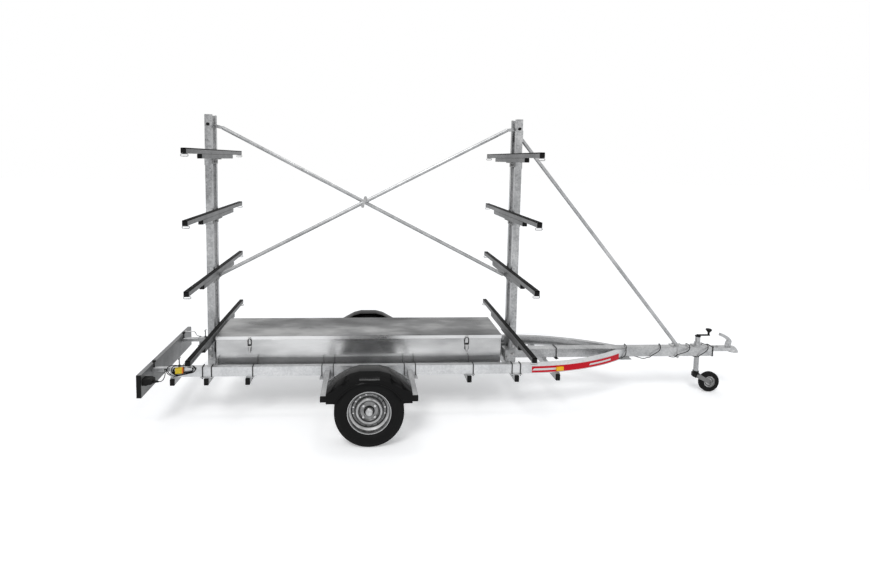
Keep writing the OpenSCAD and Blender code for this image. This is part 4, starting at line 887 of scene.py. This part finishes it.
def drawbar_fasteners():
    """U-bolt and its plate round the drawbar's rear part, screws of the black end flange, the two bolts on the
    coupling's shank, and the nuts of the stay's foot. The U-bolt's bends are quarter circles."""
    leg, bend_radius, leg_foot, bend_high, plate_low = 45, 8, 360, 465, 371.0
    rods, black, nuts = Shell(), Shell(), Shell()
    bend = np.linspace(0, math.pi / 2, 7)
    arc = np.stack([leg - bend_radius + bend_radius * np.sin(bend), bend_high + bend_radius * np.cos(bend)], axis=1)
    over = np.concatenate([[[-leg, leg_foot]], (arc * [-1, 1])[::-1], arc, [[leg, leg_foot]]])
    rods.tube(np.stack([np.full(len(over), U_BOLT), over[:, 0], over[:, 1]], axis=1), 4.0, 12)
    rods.plate(rounded(34, 124, 4), plate_low, 377.0, facing_z(U_BOLT, 0.0), 0.8)
    for y in (-leg, leg):
        rods.nut((U_BOLT, y, plate_low), (0, 0, -1), across=13.0, high=6.5, stem=0.0)
    for y in (-34.0, 34.0):
        for z in (383.0, 462.0):
            black.nut((3400.0, y, z), (1, 0, 0), across=10.0, high=5.0, stem=2.0)
    for x in (3428.0, 3468.0):
        nuts.nut((x, 0.0, 457.0), (0, 0, 1), across=17.0, high=8.0, stem=4.0)
    for y in (-43.5, 43.5):
        for z, up in ((474.0, 1), (369.0, -1)):
            nuts.nut((3037.0, y, z), (0, 0, up), across=10.0, high=5.0, stem=0.0)
    rods.done("drawbar_u_bolt", "chassis", "zinc", material=DARK_BOLT)
    black.done("flange_screws", "chassis", "black_plastic")
    nuts.done("drawbar_nuts", "chassis", "zinc")


mast_fasteners()
drawbar_fasteners()


# Box


def box_latches():
    """Two toggle latches: a round-cornered base plate with four rivets, a wire bow hooked over a catch on the lid,
    and the bent lever that pulls it down. The lever is a round-cornered section carried down along an arch,
    y = -241.5 - 3.5 sin(pi t), and it narrows as t goes from 0 to 1."""
    base_front, base_high, catch_high = BOX_SIDE + 2, 578, 666
    rivet = [(4.5, 0), (4.2, 1.2), (2.6, 2.2), (0.6, 2.6)]
    bow_half = [(0.3, -240, 596), (0.31, -242, 620), (0.3, -244, 645), (0.2, -245, 660), (0.0, -245.5, 664)]
    sweep, section = np.linspace(0, 1, 9)[:, None], rounded(1.0, 1.0, 0.3)
    bows, levers, catches = Shell(), Shell(), Shell()
    for x, wide in ((-1068.0, 46.0), (894.0, 60.0)):
        bows.plate(rounded(wide * 0.64, 62, 6), BOX_SIDE, base_front, facing_near(x, base_high), 0.6)
        for u in (-0.22, 0.22):
            for v in (-25, 25):
                bows.turned(rivet, (x + wide * u, -base_front, base_high + v), (0, -1, 0), 16)
        levers.tube([(x - wide * 0.3, -239.0, 590), (x + wide * 0.3, -239.0, 590)], 4.0, 14)
        half = 0.5 * wide * (0.46 - 0.16 * sweep)
        levers.skin(np.stack([
            x + section[:, 0] * 2 * half, -241.5 - 3.5 * np.sin(sweep * math.pi) + section[:, 1] * 3.2,
            np.broadcast_to(592 - 62 * sweep, (len(sweep), len(section))),
        ], axis=2), capped=True)
        rising = [(x - wide * share, y, z) for share, y, z in bow_half]
        falling = [(x + wide * share, y, z) for share, y, z in bow_half[-2::-1]]
        bows.tube(through(rising + falling, 3.0), 3.2, 12)
        catches.plate(rounded(wide * 0.56, 22, 4), 237.5, 240.0, facing_near(x, catch_high), 0.6)
        lip = [(x - wide * 0.2, -241.5, 671.0), (x, -243.2, 670.0), (x + wide * 0.2, -241.5, 671.0)]
        catches.tube(lip, 3.0, 12)
    bows.done("latch_bows", "chassis", "zinc", material=DARK_BOLT)
    levers.done("toggle_latches", "chassis", "zinc", ("box_latches",))
    catches.done("lid_catches", BODY_OF["box_lid"], "zinc")


def box_seams():
    """Rows of rivets: upright at both ends of the box's long walls, and along the foot of its end walls."""
    rivets = Shell()
    head = [(4.0, 0.0), (3.7, 1.0), (2.4, 1.8), (0.5, 2.1)]
    for side in (-1, 1):
        for x in (-1352.0, 1202.0):
            for z in np.linspace(385, 625, 6):
                rivets.turned(head, (x, side * BOX_SIDE, z), (0, side, 0), 14)
    for x, out in ((BOX_REAR, -1), (BOX_FRONT, 1)):
        for y in np.linspace(-210, 210, 7):
            rivets.turned(head, (x, y, 378.0), (out, 0, 0), 14)
    rivets.done("box_rivets", "chassis", "zinc")


def lid_cord():
    """Black rubber cord that hangs at the box's rear near corner: out of a button on the end wall, down beside the
    corner with a slight sway, to a small open hook. The hook's bend is two thirds of a circle."""
    cord_radius, hook_x, hook_y, hook_radius = 3.0, -1370, -228, 9
    route = through([
        (-1363.0, -222, 632), (-1368, -223, 631), (-1372, -224.5, 622), (-1373, -226, 600), (-1372, -227, 560),
        (-1370, -228, 510), (-1369.5, -228, 470), (-1370, -228, 446),
    ], 3.0)
    cord = Shell().tube(route, cord_radius, 12).done("lid_cord", "chassis", "cable_black", (), 60.0)
    turn = np.linspace(0.0, 1.35 * math.pi, 24)
    bend = np.stack([
        hook_x - hook_radius * np.sin(turn) * 0.9, np.full(len(turn), hook_y), 421 + hook_radius * np.cos(turn)
    ], axis=1)
    hook = Shell()
    hook.tube(np.concatenate([[(hook_x, hook_y, 449), (hook_x, hook_y, 440)], bend]), 1.8, 10)
    hook.turned([(3.9, 0), (4.3, 1), (4.3, 11), (3.9, 12)], (hook_x, hook_y, 438), (0, 0, 1), 18)
    hook = hook.done("cord_hook", "chassis", "zinc", material=DARK_BOLT)
    Shell().turned([(7, 0), (7, 2), (5, 4), (3.2, 4.4)], (BOX_REAR, -222, 632), (-1, 0, 0), 20).done(
        "cord_button", "chassis", "black_plastic"
    )


def box_edges():
    """Rolled bead up each of the box's four corners, where the walls fold into each other."""
    sunk = 1.5
    beads = Shell()
    for x in (BOX_REAR + sunk, BOX_FRONT - sunk):
        for y in (sunk - BOX_SIDE, BOX_SIDE - sunk):
            beads.tube([(x, y, z) for z in (368.0, 372.0, 520.0, 636.0, 640.0)], 2.6, 12)
    beads.done("corner_beads", "chassis", "bright_sheet")


box_latches()
box_seams()
lid_cord()
box_edges()


# Light board


def board_fittings():
    """Black frame round each lamp's lens, two screws in it, and a triangular reflector beside it on the web. The
    triangle's points are drawn in by a tenth of the cube of their distance from its middle, over 95 mm."""
    lamp_out, lamp_high, frame_back, frame_front = 425.0, 405.0, -1903.5, -1907.6
    screw = [(3.6, 0), (3.4, 1.2), (2.0, 2.0), (0.4, 2.2)]
    outline = rounded(224.0, 104.0, 8.0)
    inner = outline * np.array([0.965, 0.925])
    rows = [(outline, frame_back), (outline, frame_front), (inner, frame_front), (inner, frame_back)]
    corner = np.array([(-70.0, -58.0), (70.0, -58.0), (0.0, 63.0)])
    shares = np.linspace(0, 1, 12, endpoint=False)[:, None]
    edge = np.concatenate([corner[k] + (corner[(k + 1) % 3] - corner[k]) * shares for k in range(3)])
    triangle = edge * (1 - 0.10 * (np.linalg.norm(edge, axis=1, keepdims=True) / 95) ** 3)
    screws, frames, reflectors = Shell(), Shell(), Shell()
    for side in (-1, 1):
        middle = side * lamp_out
        frames.skin(lifted(rows, facing_x(middle, lamp_high)), along=True)
        for y in (-60.0, 60.0):
            screws.turned(screw, (-1906.5, middle + y, lamp_high), (-1, 0, 0), 16)
        reflectors.plate(triangle, -1884.0, -1876.5, facing_x(side * 222.0, 384.0), 1.6)
    frames.done("lamp_frames", BODY_OF["light_board"], "black_plastic")
    screws.done("lamp_screws", BODY_OF["light_board"], "zinc")
    reflectors.done("triangle_reflectors", BODY_OF["light_board"], "lens_red")


def wire_guard():
    """Bent wire step over the far arm: up from the board's top edge, level towards the front, down a step and
    level again, ending on top of the far rail."""
    bends = [
        (-1885, 371, 486), (-1872, 371, 499), (-1845, 371, 502), (-1790, 371, 502), (-1770, 371, 497),
        (-1759, 371, 482), (-1755, 371, 469), (-1742, 366, 461), (-1700, 350, 460),
    ]
    wire = Shell().tube(through(bends, 3.0), 4.0, 12)
    wire.turned([(7.0, 0.0), (7.0, 2.0), (4.0, 3.5)], (-1886, 371, 483), (0, 0, 1), 20)
    wire.done("arm_wire", BODY_OF["light_board"], "zinc")


board_fittings()
wire_guard()


# Studio


def add_studio():
    """Pale floor in a white room, one soft sun from the camera's side, and a small oblong lamp overhead. The room
    looks plain white to the camera, in mirrors and through glass, and lights the trailer more gently."""
    world = bpy.data.worlds.new("white room")
    bpy.context.scene.world = world
    world.use_nodes = True
    tree = world.node_tree
    tree.nodes.clear()
    output = tree.nodes.new("ShaderNodeOutputWorld")
    seen, lit = tree.nodes.new("ShaderNodeBackground"), tree.nodes.new("ShaderNodeBackground")
    either = tree.nodes.new("ShaderNodeMixShader")
    ray = tree.nodes.new("ShaderNodeLightPath")
    mirrored, shown = tree.nodes.new("ShaderNodeMath"), tree.nodes.new("ShaderNodeMath")
    mirrored.operation = shown.operation = "MAXIMUM"
    tree.links.new(ray.outputs["Is Camera Ray"], mirrored.inputs[0])
    tree.links.new(ray.outputs["Is Glossy Ray"], mirrored.inputs[1])
    tree.links.new(mirrored.outputs[0], shown.inputs[0])
    tree.links.new(ray.outputs["Is Transmission Ray"], shown.inputs[1])
    tree.links.new(shown.outputs[0], either.inputs["Fac"])
    lit.inputs["Color"].default_value = (0.95, 0.97, 1.0, 1.0)
    lit.inputs["Strength"].default_value = 0.62
    seen.inputs["Color"].default_value = (1.0, 1.0, 1.0, 1.0)
    seen.inputs["Strength"].default_value = 1.0
    tree.links.new(lit.outputs[0], either.inputs[1])
    tree.links.new(seen.outputs[0], either.inputs[2])
    tree.links.new(either.outputs[0], output.inputs["Surface"])

    sun = bpy.data.lights.new("sun", "SUN")
    sun.energy, sun.angle = 1.15, 0.35
    holder = bpy.data.objects.new("sun", sun)
    holder.rotation_euler = (math.radians(38), 0.0, math.radians(-28))
    bpy.context.scene.collection.objects.link(holder)

    box_light = bpy.data.lights.new("overhead softbox", "AREA")
    box_light.shape, box_light.size, box_light.size_y, box_light.energy = "RECTANGLE", 0.7, 0.35, 9.0
    holder = bpy.data.objects.new("overhead_softbox", box_light)
    holder.location = at((60, -300, 3900))
    bpy.context.scene.collection.objects.link(holder)

    plane = bpy.data.meshes.new("floor")
    reach, just_below, glow = 40.0, -0.0005, 0.275
    corners = [(-reach, -reach, 0), (reach, -reach, 0), (reach, reach, 0), (-reach, reach, 0)]
    plane.from_pydata(corners, [], [(0, 1, 2, 3)])
    floor = bpy.data.objects.new("floor", plane)
    floor.location.z = just_below
    bpy.context.scene.collection.objects.link(floor)
    paint = Finish("pale floor", Roughness=0.9, Specular_IOR_Level=0.1)
    path = paint.node("ShaderNodeLightPath")
    looked_at = paint.maths("MAXIMUM", path.outputs["Is Camera Ray"], path.outputs["Is Glossy Ray"])
    paint.shader.inputs["Emission Color"].default_value = (1.0, 1.0, 1.0, 1.0)
    plane.materials.append(paint.wear(
        Base_Color=paint.blend(paint.noise(0.7, 2.0), grey(0.88), grey(0.92)),
        Emission_Strength=paint.maths("MULTIPLY", looked_at, glow),
    ))


add_studio()
bpy.context.scene.view_settings.view_transform = "Standard"
